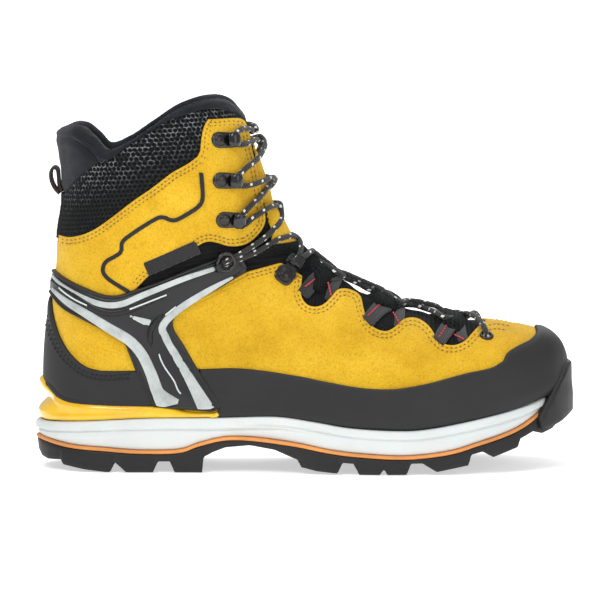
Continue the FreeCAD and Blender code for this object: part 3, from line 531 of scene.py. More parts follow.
def sheet(name, ring, top, bottom, material, body, side=0, edge=0.8, drop=0.9,
          relief=None, rings=None, under=None):
    """Closed sheet on the upper with a rounded edge; relief adds height from (data, distance)."""
    rings = rings if rings is not None else (0.3 * edge, edge)
    data, faces, distance = region(ring, side, rings)
    height = top - drop * rounding(distance / edge)
    if relief is not None:
        height = height + relief(data, distance)
    rim = edge_flags(faces, len(data))
    upper = data[:, POS] + data[:, NRM] * height[:, None]
    inner = np.where(~rim)[0]
    table = np.arange(len(data))
    table[inner] = len(data) + np.arange(len(inner))
    depth = np.minimum(bottom if under is None else under(data), height - 0.15)
    lower = data[inner][:, POS] + data[inner][:, NRM] * depth[inner][:, None]
    points = np.vstack([upper, lower])
    flat = np.vstack([data[:, UV], data[inner][:, UV]])
    back = table[faces][:, ::-1]
    doubled = np.sort(back, axis=1) == np.sort(faces, axis=1)
    back = back[~doubled.all(axis=1)]
    obj = make_mesh(name, points, np.vstack([faces, back]), material, flat)
    follow(obj, body)
    return obj


def join(name, parts, material, body):
    """One object from many small point and face sets."""
    points = []
    faces = []
    total = 0
    for part_points, part_faces in parts:
        points.append(part_points)
        faces.append(np.asarray(part_faces) + total)
        total += len(part_points)
    obj = make_mesh(name, np.vstack(points), np.vstack(faces), material)
    follow(obj, body)
    return obj


def dress(obj, slot, *nodes):
    """Hides the modelled nodes that a piece replaces; slot is not used."""
    if nodes:
        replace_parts(obj, *nodes)


# ---- materials --------------------------------------------------------------------------------


class Paint:
    """Small helper that builds one node material."""

    def __init__(self, name):
        self.material = bpy.data.materials.new(name)
        self.material.use_nodes = True
        self.tree = self.material.node_tree
        self.surface = self.tree.nodes["Principled BSDF"]
        self.coords = self.tree.nodes.new("ShaderNodeTexCoord")

    def node(self, kind, **values):
        made = self.tree.nodes.new("ShaderNode" + kind)
        for key, value in values.items():
            if hasattr(made, key):
                setattr(made, key, value)
            else:
                made.inputs[key.replace("_", " ")].default_value = value
        return made

    def link(self, source, target):
        self.tree.links.new(source, target)

    def set(self, **values):
        for key, value in values.items():
            self.surface.inputs[key.replace("_", " ")].default_value = value

    def noise(self, scale, detail=4.0, rough=0.6, coords="Object"):
        made = self.node("TexNoise", Scale=scale, Detail=detail, Roughness=rough)
        self.link(self.coords.outputs[coords], made.inputs["Vector"])
        return made.outputs["Fac"]

    def ramp(self, factor, *stops):
        made = self.node("ValToRGB")
        ramp = made.color_ramp
        while len(ramp.elements) < len(stops):
            ramp.elements.new(0.5)
        for element, (place, colour) in zip(ramp.elements, stops):
            element.position = place
            element.color = (*colour, 1.0) if len(colour) == 3 else colour
        self.link(factor, made.inputs["Fac"])
        return made.outputs["Color"]

    def math(self, operation, first, second=0.0, third=0.0):
        made = self.node("Math", operation=operation)
        for number, value in enumerate((first, second, third)):
            if isinstance(value, (int, float)):
                made.inputs[number].default_value = value
            else:
                self.link(value, made.inputs[number])
        return made.outputs[0]

    def wave(self, value, pitch):
        """Sine that repeats every pitch."""
        return self.math("SINE", self.math("MULTIPLY", value, 2 * math.pi / pitch))

    def step(self, factor, low, high):
        """Black below low, white above high."""
        return self.ramp(factor, (low, grey(0.0)), (high, grey(1.0)))

    def mix(self, factor, first, second, blend="MIX"):
        made = self.node("Mix", data_type="RGBA", blend_type=blend)
        for socket, value in ((made.inputs[0], factor), (made.inputs[6], first), (made.inputs[7], second)):
            if isinstance(value, (int, float)):
                socket.default_value = value
            elif isinstance(value, tuple):
                socket.default_value = (*value, 1.0)
            else:
                self.link(value, socket)
        return made.outputs[2]

    def colour(self, source):
        self.link(source, self.surface.inputs["Base Color"])

    def roughness(self, factor, low, high):
        made = self.node("MapRange", To_Min=low, To_Max=high)
        self.link(factor, made.inputs["Value"])
        self.link(made.outputs[0], self.surface.inputs["Roughness"])

    def bump(self, *layers):
        """Adds bumps of (height, depth in metres)."""
        last = None
        for height, depth in layers:
            made = self.node("Bump", Strength=1.0, Distance=depth)
            self.link(height, made.inputs["Height"])
            if last is not None:
                self.link(last, made.inputs["Normal"])
            last = made.outputs[0]
        self.link(last, self.surface.inputs["Normal"])

    def flat(self):
        """Flat coordinates of a sheet, in millimetres along and across."""
        uv = self.node("UVMap", uv_map="flat")
        parts = self.node("SeparateXYZ")
        self.link(uv.outputs[0], parts.inputs[0])
        return parts.outputs[0], parts.outputs[1]

    def dots(self, pitch_u, pitch_v):
        """Distance to the middle of a staggered grid of dots, 0 at the middle and about 1 between."""
        u, v = self.flat()
        rows = self.math("DIVIDE", v, pitch_v)
        odd = self.math("MULTIPLY", self.math("MODULO", self.math("FLOOR", rows), 2.0), 0.5)
        columns = self.math("ADD", self.math("DIVIDE", u, pitch_u), odd)
        near_u = self.math("SUBTRACT", self.math("FRACT", self.math("ADD", columns, 200.0)), 0.5)
        near_v = self.math("SUBTRACT", self.math("FRACT", rows), 0.5)
        square = self.math("ADD", self.math("POWER", near_u, 2.0), self.math("POWER", near_v, 2.0))
        return self.math("MULTIPLY", self.math("SQRT", square), 2.0)


def grey(level):
    return level, level, level


def shade(colour, share):
    """A colour made darker or lighter."""
    return tuple(share * part for part in colour)


def suede_material():
    """Brushed yellow leather: broad wear, nap and fine fibres."""
    paint = Paint("suede")
    broad = paint.noise(35.0, 3.0, 0.6)
    nap = paint.noise(900.0, 5.0, 0.75)
    fine = paint.noise(3200.0, 3.0, 0.7)
    base = paint.ramp(broad, (0.28, (0.60, 0.335, 0.012)), (0.52, (0.70, 0.415, 0.020)),
                      (0.78, (0.80, 0.50, 0.036)))
    grain = paint.ramp(nap, (0.30, (0.58, 0.52, 0.42)), (0.50, grey(1.0)), (0.72, (1.18, 1.18, 1.2)))
    paint.colour(paint.mix(0.75, base, grain, "MULTIPLY"))
    paint.roughness(nap, 0.80, 0.98)
    paint.set(Sheen_Weight=0.35, Sheen_Roughness=0.5, Sheen_Tint=(1.0, 0.8, 0.4, 1.0),
              Specular_IOR_Level=0.15)
    paint.bump((nap, 0.00035), (fine, 0.00012))
    return paint.material


def fabric_material(name, colour, pitch=0.9, sheen=0.25):
    """Plain woven cloth with visible threads."""
    paint = Paint(name)
    u, v = paint.flat()
    weave = paint.math("MULTIPLY", paint.wave(u, pitch), paint.wave(v, pitch))
    patch = paint.noise(120.0, 4.0, 0.6)
    base = paint.ramp(patch, (0.3, shade(colour, 0.6)), (0.5, colour), (0.75, shade(colour, 1.6)))
    threads = paint.ramp(weave, (0.0, grey(0.7)), (1.0, grey(1.3)))
    paint.colour(paint.mix(1.0, base, threads, "MULTIPLY"))
    paint.set(Roughness=0.85, Sheen_Weight=sheen, Sheen_Roughness=0.4, Specular_IOR_Level=0.25)
    paint.bump((weave, 0.00010), (paint.noise(2500.0, 2.0), 0.00006))
    return paint.material


def mesh_material():
    """Black air mesh: rows of open holes painted near-black with painted shade, and painted glints on the
    threads between them, stronger towards the top.
    """
    paint = Paint("air_mesh")
    hole = paint.dots(2.1, 2.7)
    open_part = paint.step(hole, 0.42, 0.62)
    knot = paint.step(hole, 0.88, 0.98)
    place = paint.node("SeparateXYZ")
    paint.link(paint.coords.outputs["Object"], place.inputs[0])
    # Painted highlight: the glints fade in over about 20 mm upwards across a slanted line parallel to the
    # collar seam, so they gather near the top.
    seam_slope = 0.475
    seam_height = 0.164
    fade = 0.022
    level = paint.math("SUBTRACT", place.outputs[2], paint.math("MULTIPLY", place.outputs[0], seam_slope))
    near_seam = paint.math("DIVIDE", paint.math("SUBTRACT", level, seam_height), fade)
    upper = paint.ramp(near_seam, (0.0, grey(0.05)), (0.9, grey(0.75)))
    glint = paint.noise(420.0, 3.0, 0.7)
    fine = paint.noise(1500.0, 3.0, 0.7)
    thread = paint.ramp(fine, (0.35, (0.003, 0.0035, 0.0038)), (0.60, (0.010, 0.0115, 0.012)),
                        (0.8, (0.028, 0.032, 0.032)))
    # Painted glints: pale spots on the thread knots where the noise is high, faded by upper.
    painted_glints = paint.math("MULTIPLY", knot, paint.step(glint, 0.46, 0.58))
    painted_glints = paint.math("MULTIPLY", painted_glints, upper)
    # The holes are painted near-black: partly the dark lining seen through them, partly painted shade in the
    # openings.
    body = paint.mix(open_part, (0.0012, 0.0012, 0.0014), thread)
    # The pale grey mixed in here is the painted glint colour.
    paint.colour(paint.mix(painted_glints, body, (0.22, 0.25, 0.25)))
    paint.set(Roughness=0.85, Specular_IOR_Level=0.16)
    paint.bump((open_part, 0.0007), (fine, 0.00015))
    return paint.material


def rubber_material(name, colour, rough=(0.5, 0.72), grain=0.00008):
    paint = Paint(name)
    patch = paint.noise(28.0, 4.0, 0.6)
    fine = paint.noise(1600.0, 3.0, 0.6)
    paint.colour(paint.ramp(patch, (0.3, shade(colour, 0.75)), (0.55, colour), (0.8, shade(colour, 1.35))))
    paint.roughness(patch, *rough)
    paint.set(Specular_IOR_Level=0.4)
    paint.bump((fine, grain), (paint.noise(300.0, 2.0), 0.00005))
    return paint.material


def gloss_material(name, colour, deep, rough=0.16):
    """Glossy moulded plastic with soft flow marks."""
    paint = Paint(name)
    flow = paint.noise(30.0, 2.0, 0.5)
    paint.colour(paint.ramp(flow, (0.3, deep), (0.7, colour)))
    paint.roughness(flow, rough, rough + 0.12)
    paint.set(Coat_Weight=0.6, Coat_Roughness=0.08, Subsurface_Weight=0.08, Subsurface_Scale=0.004)
    paint.bump((paint.noise(220.0, 2.0), 0.00005))
    return paint.material


def foam_material():
    paint = Paint("midsole_foam")
    patch = paint.noise(18.0, 4.0, 0.6)
    fine = paint.noise(2400.0, 2.0, 0.6)
    paint.colour(paint.ramp(patch, (0.3, (0.60, 0.64, 0.64)), (0.6, (0.67, 0.71, 0.705)),
                            (0.8, (0.70, 0.735, 0.73))))
    paint.roughness(patch, 0.42, 0.6)
    paint.set(Subsurface_Weight=0.12, Subsurface_Scale=0.003)
    paint.bump((fine, 0.00005))
    return paint.material


def metal_material():
    """Black enamel with lighter patches of painted highlight, placed by noise that also sets the roughness
    and a fine bump.
    """
    paint = Paint("black_enamel")
    painted_highlight_patches = paint.noise(500.0, 4.0, 0.7)
    # Painted highlight: the lightest grey stop, where the noise is high.
    paint.colour(paint.ramp(painted_highlight_patches, (0.35, (0.005, 0.005, 0.006)), (0.62, (0.012, 0.012, 0.014)),
                            (0.8, (0.06, 0.06, 0.065))))
    paint.roughness(painted_highlight_patches, 0.14, 0.4)
    paint.set(Metallic=0.55, Coat_Weight=0.7, Coat_Roughness=0.1)
    paint.bump((painted_highlight_patches, 0.00003))
    return paint.material


def silver_material():
    paint = Paint("silver_film")
    patch = paint.noise(90.0, 4.0, 0.7)
    paint.colour(paint.ramp(patch, (0.3, (0.36, 0.39, 0.385)), (0.55, (0.50, 0.54, 0.53)),
                            (0.8, (0.60, 0.63, 0.62))))
    paint.roughness(patch, 0.28, 0.45)
    paint.set(Metallic=0.35)
    paint.bump((paint.noise(1500.0, 2.0), 0.00003))
    return paint.material


def cord_material():
    """Braided black cord with pairs of white flecks; flat coordinates run along and around it."""
    paint = Paint("lace_cord")
    u, v = paint.flat()
    braid_pitch = 2.2
    strands = 5
    fleck_pitch = 9.0
    strand_turn = paint.math("MULTIPLY", v, 2 * math.pi * strands)
    forward = paint.math("MULTIPLY", u, 2 * math.pi / braid_pitch)
    left = paint.math("SINE", paint.math("ADD", forward, strand_turn))
    right = paint.math("SINE", paint.math("SUBTRACT", forward, strand_turn))
    braid = paint.math("MAXIMUM", left, right)
    slant = paint.math("ADD", u, paint.math("MULTIPLY", v, fleck_pitch / 3))
    along = paint.math("FRACT", paint.math("DIVIDE", slant, fleck_pitch))
    band = paint.math("LESS_THAN", paint.math("ABSOLUTE", paint.math("SUBTRACT", along, 0.5)), 0.09)
    stripe = paint.math("GREATER_THAN", paint.wave(v, 1 / 3), 0.15)
    fleck = paint.math("MULTIPLY", band, stripe)
    black = paint.ramp(braid, (0.3, (0.0035, 0.0035, 0.004)), (0.9, (0.018, 0.0175, 0.019)))
    paint.colour(paint.mix(fleck, black, (0.78, 0.78, 0.76)))
    paint.set(Roughness=0.75, Sheen_Weight=0.2)
    paint.bump((braid, 0.00022))
    return paint.material


def webbing_material(name, colour):
    """Ribbed tape with a twill across it."""
    paint = Paint(name)
    u, v = paint.flat()
    weave = paint.math("ADD", paint.wave(u, 0.8), paint.wave(paint.math("ADD", u, v), 1.1))
    paint.colour(paint.ramp(weave, (0.2, shade(colour, 0.5)), (0.8, shade(colour, 1.9))))
    paint.set(Roughness=0.8, Sheen_Weight=0.25)
    paint.bump((weave, 0.00012), (paint.noise(2000.0, 2.0), 0.00004))
    return paint.material


def thread_material(name, colour):
    paint = Paint(name)
    fine = paint.noise(4000.0, 2.0, 0.6)
    paint.colour(paint.ramp(fine, (0.3, shade(colour, 0.6)), (0.7, colour)))
    paint.set(Roughness=0.7, Sheen_Weight=0.2)
    paint.bump((fine, 0.00005))
    return paint.material


def bronze_material():
    paint = Paint("dark_bronze")
    patch = paint.noise(260.0, 4.0, 0.7)
    paint.colour(paint.ramp(patch, (0.3, (0.014, 0.012, 0.011)), (0.7, (0.040, 0.034, 0.031))))
    paint.roughness(patch, 0.2, 0.38)
    paint.set(Metallic=0.8, Coat_Weight=0.4)
    paint.bump((patch, 0.00002))
    return paint.material


SUEDE = suede_material()
AIR_MESH = mesh_material()
COLLAR = fabric_material("collar_cloth", (0.011, 0.0125, 0.019), 0.7, 0.15)
STRETCH = fabric_material("stretch_cloth", (0.006, 0.006, 0.0065), 1.1, 0.06)
LINING = fabric_material("lining_cloth", (0.014, 0.015, 0.018), 1.3, 0.15)
INSOLE = fabric_material("footbed_cloth", (0.09, 0.09, 0.095), 1.0, 0.3)
RUBBER = rubber_material("rand_rubber", (0.015, 0.015, 0.016))
TREAD_RUBBER = rubber_material("tread_rubber", (0.0105, 0.0105, 0.0115), (0.42, 0.65))
PLASTIC = rubber_material("brace_plastic", (0.015, 0.015, 0.017), (0.3, 0.46), 0.00005)
PLASTIC_DARK = rubber_material("brace_plastic_dark", (0.006, 0.006, 0.007), (0.25, 0.4), 0.00004)
YELLOW_GLOSS = gloss_material("frame_plastic", (0.84, 0.53, 0.010), (0.78, 0.43, 0.004))
ORANGE = rubber_material("stripe_rubber", (0.74, 0.29, 0.075), (0.4, 0.6))
FOAM = foam_material()
METAL = metal_material()
SILVER = silver_material()
CORD = cord_material()
WEBBING = webbing_material("black_webbing", (0.008, 0.0075, 0.009))
YELLOW_THREAD = thread_material("yellow_thread", (0.52, 0.30, 0.016))
# Dark brown pellets: painted shade in the needle holes of the suede.
NEEDLE_HOLE_SHADE = thread_material("needle_hole_shade", (0.16, 0.085, 0.004))
RED_THREAD = thread_material("red_thread", (0.72, 0.035, 0.05))
PRINT = rubber_material("printed_line", (0.006, 0.006, 0.006), (0.45, 0.6), 0.00003)
BOARD = rubber_material("insole_board", (0.30, 0.29, 0.27))
BRONZE = bronze_material()
MAROON = fabric_material("maroon_webbing", (0.10, 0.012, 0.02), 0.8, 0.2)


# ---- upper ------------------------------------------------------------------------------------


STITCH_LINES = (1.9, 3.9)


def line_height(line, x):
    """Height of a side-view line at x, straight between its points."""
    line = np.asarray(line, float)
    return np.interp(x, line[:, 0], line[:, 1])


def floor_run(front, back):
    """The line where the upper meets the sole, from front to back."""
    xs = np.linspace(front, back, 24)
    return list(zip(xs, line_height(FLOOR, xs)))


def creases(data, amount, scale, seed=0.0):
    """Low soft waves."""
    points = data[:, POS] / scale + seed
    return amount * np.array([noise.noise(Vector(point)) for point in points])


def suede_relief(data, distance):
    """Soft waves, and two grooves where the stitches pull the leather down."""
    waves = creases(data, 0.5, 24.0, 3.0) + creases(data, 0.16, 6.0, 9.0)
    stitched = -0.35 * peak(distance, STITCH_LINES[0], 0.5) - 0.30 * peak(distance, STITCH_LINES[1], 0.5)
    return waves * smooth(distance / 4) + stitched


VAMP_RING = outline(*SCALLOPS, [(270, 83), (272, 110)], [(AHEAD, 110)], floor_run(AHEAD - 20, 80.4),
                    [(80.4, 95), (100, 104)])
CUFF_CORNER = [(94, 183), (95, 192), (96.5, 197.5), (98.6, 201)]
CUFF_RING = outline(CUFF_TOP, CUFF_CORNER, CUFF_FRONT, [(50, 97)], [(BEHIND, 97)], [(BEHIND, 133.5)])


def make_vamp():
    def relief(data, distance):
        flex = smooth((data[:, X] - 175) / 25) * smooth((258 - data[:, X]) / 25)
        bends = np.sin(data[:, X] / 5.5 + 1.2 * np.sin(data[:, Z] / 9.0)) * 0.25
        return suede_relief(data, distance) + flex * bends * smooth(distance / 8)

    vamp = sheet("vamp_suede", VAMP_RING, 0.0, -2.0, SUEDE, "foot", relief=relief)
    dress(vamp, "suede", "vamp")


def make_quarter():
    ring = outline([(82, 34), (82, 109)], [(73, 107), (56, 101), (47, 98), (40, 98), (29, 101.5), (18, 106)],
                   [(BEHIND, 111)], [(BEHIND, 50)], [(10, 50), (22, 38)], floor_run(22, 80))
    quarter = sheet("quarter_suede", ring, -0.1, -2.0, SUEDE, "foot", relief=suede_relief)
    dress(quarter, "suede", "quarter")


def make_cuff():
    cuff = sheet("cuff_suede", CUFF_RING, 0.0, -2.0, SUEDE, "flex", relief=suede_relief)
    dress(cuff, "suede", "cuff")


def make_collar_mesh():
    ring = outline([(BEHIND, 152), (8, 152)], COLLAR_SEAM[1:-1], [(118, 202)], [(123, 196), (121, 190)],
                   [(95, 176)], [(80, 165), (60, 150), (40, 136), (20, 126)], [(BEHIND, 126)])
    mesh = sheet("collar_air_mesh", ring, -0.6, -2.2, AIR_MESH, "shaft", edge=1.6, drop=0.8)
    dress(mesh, "mesh_black", "collar_mesh")


def rim_distance(data, line):
    """Distance of points to an open line in the side view."""
    path = curve(line)
    gaps = np.full(len(data), 1e9)
    for spot in path:
        gaps = np.minimum(gaps, np.hypot(data[:, X] - spot[0], data[:, Z] - spot[1]))
    return gaps


def make_collar_cover():
    """Padded roll along the top, with a welt below its edge."""
    ring = outline([(36, 176.5), (43, 178.6), (51, 184.6), (64, 193.4), (78, 201.6)], COLLAR_SEAM[8:],
                   [(124, 194), (126, 198)], COLLAR_RIM[::-1][1:], [(BEHIND, 193.8)], [(BEHIND, 189.6)],
                   [(6, 189.6), (14.6, 189.6), (23, 188.4), (29.5, 184.5), (34.5, 179.5), (36, 176.5)])
    rim = [(BEHIND, 193.8)] + COLLAR_RIM
    roll = 4.6

    def round_over(data):
        return 4.2 * rounding(rim_distance(data, rim) / roll)

    def relief(data, distance):
        near = rim_distance(data, rim)
        welt = 0.55 * peak(near, 5.6, 0.5) - 0.35 * peak(near, 6.7, 0.5)
        flare = 1.2 * smooth((data[:, Z] - 180) / 12) * smooth((40 - data[:, X]) / 12)
        return 0.9 * smooth(distance / 4) - round_over(data) + welt + flare + creases(data, 0.5, 9.0, 1.0)

    def under(data):
        return -9.0 + round_over(data)

    cover = sheet("collar_roll", ring, 0.0, -9.0, COLLAR, "shaft", edge=1.0, drop=0.7, relief=relief,
                  under=under)
    dress(cover, "collar_fabric", "collar_cover", "collar_padding")


def make_achilles_pad():
    """Soft pad over the tendon, drawn in at the waist."""
    ring = outline(PAD_FRONT, [(BEHIND, 191)], [(BEHIND, 152)],
                   [(8, 153), (14, 156.5), (25, 168), (36, 176.5)])

    def relief(data, distance):
        flare = 1.4 * smooth((data[:, Z] - 180) / 14)
        waist = -1.2 * peak(data[:, Z], 172, 9) * smooth((30 - data[:, X]) / 12)
        return smooth(distance / 5) * 1.1 + flare + waist + creases(data, 0.5, 8.0, 7.0)

    pad = sheet("achilles_pad_cloth", ring, -0.3, -9.0, COLLAR, "shaft", edge=1.2, drop=0.9, relief=relief)
    dress(pad, "collar_fabric", "achilles_pad")


def make_lining():
    """Inner skins of the leg and of the foot."""
    top = outline(lift_line([(BEHIND, 197), (12, 196)] + COLLAR_RIM[2:], -6.8), [(124, 190)],
                  [(128, 160), (110, 112)], [(BEHIND, 108)])
    upper = sheet("ankle_lining", top, -9.1, -10.0, LINING, "flex", edge=0.6, drop=0.3)
    dress(upper, "lining", "lining_upper")
    lower_ring = outline([(BEHIND, 111), (110, 115), (160, 96), (AHEAD, 60)], floor_run(AHEAD - 20, BEHIND))
    lower = sheet("foot_lining", lower_ring, -3.6, -4.4, LINING, "foot", edge=0.6, drop=0.3)
    dress(lower, "lining", "lining_lower")


def tongue_crown(data, start, reach, height):
    """Swell of the tongue between the edges of the suede."""
    cover = np.maximum(inside_distance(data[:, VIEW], CUFF_RING), inside_distance(data[:, VIEW], VAMP_RING))
    quilt_pitch = 17.0
    quilt = -0.5 * peak((data[:, Z] - 4) % quilt_pitch, quilt_pitch / 2, 0.8) * (data[:, Z] < 186)
    return height * smooth((-cover - start) / reach) + quilt + creases(data, 0.5, 8.0, 4.0)


def make_tongue():
    """Upper and lower tongue, with a suede facing on the upper one."""
    def upper_relief(data, distance):
        return tongue_crown(data, 0.4, 5.0, 4.2) - 2.0 * smooth((data[:, Z] - 194) / 8)

    def lower_relief(data, distance):
        return tongue_crown(data, 2.6, 7.0, 6.4)

    upper_ring = outline([(96, 128), (98, 196)], [(104, 200.5), (114, 202), (AHEAD, 206)], [(AHEAD, 128)])
    upper = sheet("tongue_top", upper_ring, -2.6, -8.0, AIR_MESH, "flex", edge=3.0, drop=2.4,
                  relief=upper_relief)
    dress(upper, "mesh_black", "tongue_upper")
    patch_ring = outline([(133.5, 128), (133.5, 140), (130, 158), (127, 176), (124.5, 187)], [(AHEAD, 187)],
                         [(AHEAD, 128)])
    patch = sheet("tongue_suede", patch_ring, -1.9, -3.6, SUEDE, "flex", edge=0.9, drop=0.6,
                  relief=upper_relief)
    dress(patch, "suede")
    lower_ring = outline([(112, 108), (118, 127.9)], [(AHEAD, 127.9)], [(AHEAD, 60)],
                         [(262, 72), (200, 92), (150, 104)])
    lower = sheet("tongue_foot", lower_ring, -3.0, -8.0, AIR_MESH, "flex", edge=1.5, drop=1.0,
                  relief=lower_relief)
    dress(lower, "mesh_black", "tongue_lower")


def make_flex_panel():
    ring = outline([(60, 100), (80, 92), (119, 104), (140, 108)],
                   [(150, 108), (152, 118), (140, 140), (137, 152)], [(129, 152)],
                   [(120, 140), (95, 138), (60, 125)])

    def relief(data, distance):
        return 0.4 * np.sin(data[:, Z] * 2 * math.pi / 3.2 - data[:, X] / 9) + creases(data, 0.5, 8.0, 5.0)

    panel = sheet("flex_panel_cloth", ring, -1.3, -2.8, STRETCH, "flex", relief=relief)
    dress(panel, "flex_fabric", "flex_panel")


def make_gusset():
    ring = outline([(118, 100), (150, 84), (185, 70), (232, 62), (262, 70), (276, 78)], [(276, 110)],
                   [(200, 130)], [(152, 142), (118, 142)])

    def relief(data, distance):
        return creases(data, 0.9, 9.0, 2.0)

    gusset = sheet("gusset_mesh", ring, -1.7, -3.0, AIR_MESH, "flex", relief=relief)
    dress(gusset, "flex_fabric", "tongue_gusset")


def rubber_edge(distance):
    return 0.25 * peak(distance, 1.6, 0.7)


def above_floor(data):
    return data[:, Z] - line_height(FLOOR, data[:, X])


def make_rand():
    ring = outline(RAND_TOP, CAP_TOP, [(278, 110)], [(AHEAD, 110)], floor_run(AHEAD - 20, 101),
                   [(106.2, 35.4), (98.2, 46.5), (89.4, 60)])

    def relief(data, distance):
        toe = 0.6 * smooth((data[:, X] - 262) / 12) * smooth((distance - 0.5) / 3)
        swell = 0.6 * peak(above_floor(data), 6, 5)
        return toe + swell + rubber_edge(distance) * (data[:, X] < 270)

    rand = sheet("rand_rubber", ring, 1.8, 0.0, RUBBER, "foot", edge=1.0, drop=1.7, relief=relief)
    dress(rand, "rubber_black", "rand")


def make_heel_counter():
    ring = outline(COUNTER_TOP[:-1], [(61, 57.8), (70.5, 36.5)],
                   [(40, 37.2), (20, 38.2), (13, 40.5), (7, 46)], [(BEHIND, 46)], [(BEHIND, 98.2)])

    def relief(data, distance):
        return rubber_edge(distance) - 0.3 * peak(distance, 3.4, 0.5)

    counter = sheet("heel_counter_rubber", ring, 1.7, 0.0, RUBBER, "foot", edge=0.9, drop=1.6, relief=relief)
    dress(counter, "rubber_black", "heel_counter")


def make_heel_frame():
    top = [(BEHIND, 57), (-2, 57), (3.5, 53), (8, 45.5), (14, 41.2), (20, 39.3), (40, 38.3), (67, 37.5),
           (108, 34.3)]
    ring = outline(top, [(108, 34.3), (101, 29)], floor_run(100, BEHIND))

    def relief(data, distance):
        rear = smooth((16 - data[:, X]) / 12)
        z = data[:, Z]
        bulge = 1.6 * peak(z, 32.0, 3.6)
        notch = -4.2 * peak(z, 40.5, 3.6)
        lip = 1.0 * peak(z, 50, 3.5)
        ridge = 0.5 * peak(distance, 2.6, 0.9) * (1 - rear)
        return rear * (bulge + notch + lip) + ridge

    heel = sheet("heel_frame_plastic", ring, 2.8, -2.6, YELLOW_GLOSS, "foot", edge=1.8, drop=2.4,
                 relief=relief)
    dress(heel, "frame_yellow", "heel_frame")


def make_brace():
    """Plastic frame round the ankle and down each side, with a lip and a groove along its edge."""
    front = [(106, 105), (91, 97), (83, 91.5), (78.6, 87), (78.6, 82), (84.6, 72), (91.6, 60),
             (100.6, 46.5), (108.6, 33.8)]
    ring = outline(BRACE_TOP, [(112, 124), (115.5, 122.5), (119, 118), (120, 115), (119, 112.6)], front,
                   [(108.6, 33.8), (66.5, 36.6)], BRACE_REAR, [(BEHIND, 99)], [(BEHIND, 113.3)])

    def relief(data, distance):
        lip = 0.5 * peak(distance, 0.9, 0.45)
        groove = -0.6 * peak(distance, 2.2, 0.4)
        return lip + groove + 0.4 * smooth((distance - 3) / 5)

    brace = sheet("ankle_brace_plastic", ring, 2.0, 0.0, PLASTIC, "foot", edge=0.7, drop=1.9,
                  relief=relief, rings=(0.25, 0.6, 0.9, 1.5, 2.2, 2.9))
    dress(brace, "brace_grey", "ankle_brace")


# ---- bands and stitches on the upper ----------------------------------------------------------


def band(points, widths):
    """Outline of a band along a smooth line, whose width follows the given widths."""
    path = curve(points, 1.5)
    step = unit(np.gradient(path, axis=0))
    normal = np.stack([-step[:, 1], step[:, 0]], 1)
    along = np.linspace(0, 1, len(path))
    width = np.interp(along, np.linspace(0, 1, len(widths)), widths)[:, None] / 2
    return np.vstack([path + normal * width, (path - normal * width)[::-1]])


HIGH_BAND = [(10.5, 109.8), (15.5, 105.8), (27.6, 99.2), (39.7, 95.4), (48.5, 95.9), (61.7, 101.4),
             (83.7, 110.2), (102, 116)]
REAR_BAND = [(10.5, 102.4), (17.7, 97), (30.9, 89.3), (43, 81.8), (52.9, 75.6), (57.3, 71.4), (61, 66.3),
             (65.9, 55.8), (69.6, 45.6), (73.2, 40.6), (79, 34.5)]
FRONT_BAND = [(112.3, 110.8), (105.7, 107.5), (94.7, 101.4), (82.6, 93.7), (74.9, 87.1), (71.8, 82.2),
              (73.6, 77.4), (79.3, 67), (85.9, 56), (92.2, 45.2), (98.4, 34)]
BRACE_RIDGES = [[(10, 107), (22, 100.6), (36, 92.4), (44, 90.8), (53, 92.6), (75, 101.4)],
                [(72.5, 90.5), (66.8, 84), (65.2, 78), (66.8, 72), (69.6, 67.2)]]
THIN_LINES = [([(15.8, 103.6), (30.8, 94.8)], 3.7), ([(73.6, 89.6), (79.6, 94.4)], 2.7),
              ([(53.6, 93.2), (74.3, 101.4)], 3.7), ([(70.2, 67.4), (76.8, 55), (82.8, 44.6)], 2.7)]


def above_frame(ring):
    """Ends a band on the top line of the heel frame."""
    floor = np.interp(ring[:, 0], [66, 107], [37.6, 34.6])
    return np.column_stack([ring[:, 0], np.maximum(ring[:, 1], floor)])


def make_brace_bands():
    """Silver bands, raised ridges and thin silver lines on each side of the brace."""
    rear = above_frame(band(REAR_BAND, [2.0, 4.2, 5.0, 5.8, 6.0, 6.2, 7.0, 15.0]))
    front = above_frame(band(FRONT_BAND, [1.6, 3.4, 4.0, 4.2, 4.4, 4.8, 6.6, 9.5]))
    silver = (("silver_band_high", band(HIGH_BAND, [1.6, 3.2, 3.6, 3.5, 3.2, 2.6]), 2.8, 0.3),
              ("silver_band_rear", rear, 2.8, 0.3), ("silver_band_front", front, 2.8, 0.3),
              ("silver_tab", outline([(51.8, 90.4), (66, 87.0)], [(64, 82.9)], [(55, 87.7)]), 3.4, 0.2))
    for side in SIDES:
        for name, ring, top, drop in silver:
            piece = sheet(f"{name}_{side + 1}", ring, top, 1.5, SILVER, "foot", side=side, edge=0.3,
                          drop=drop)
            nodes = ["brace_inlays"] if (name, side) == ("silver_band_high", -1) else []
            dress(piece, "inlay_silver", *nodes)
        for number, line in enumerate(BRACE_RIDGES):
            ridge = sheet(f"brace_ridge_{number}_{side + 1}", band(line, [1.6, 3.4, 3.4, 1.6]), 3.5, 1.5,
                          PLASTIC_DARK, "foot", side=side, edge=1.2, drop=0.9)
            dress(ridge, "brace_grey")
        for number, (line, lift) in enumerate(THIN_LINES):
            path = skin_path([(x, z, side, lift) for x, z in line])
            shape, faces, flat = tube(path, 0.45, 8)
            thread = make_mesh(f"brace_line_{number}_{side + 1}", shape, faces, FOAM, flat)
            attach(thread, "foot")
            dress(thread, "inlay_silver")


def cornered(points, reach):
    """A line with two points close to each corner, so a curve through them keeps its corners."""
    made = [points[0]]
    for before, corner, after in zip(points, points[1:], points[2:]):
        corner = np.array(corner, float)
        for other in (before, after):
            away = np.array(other, float) - corner
            made.append(tuple(corner + away / np.linalg.norm(away) * reach))
    made.append(points[-1])
    return made


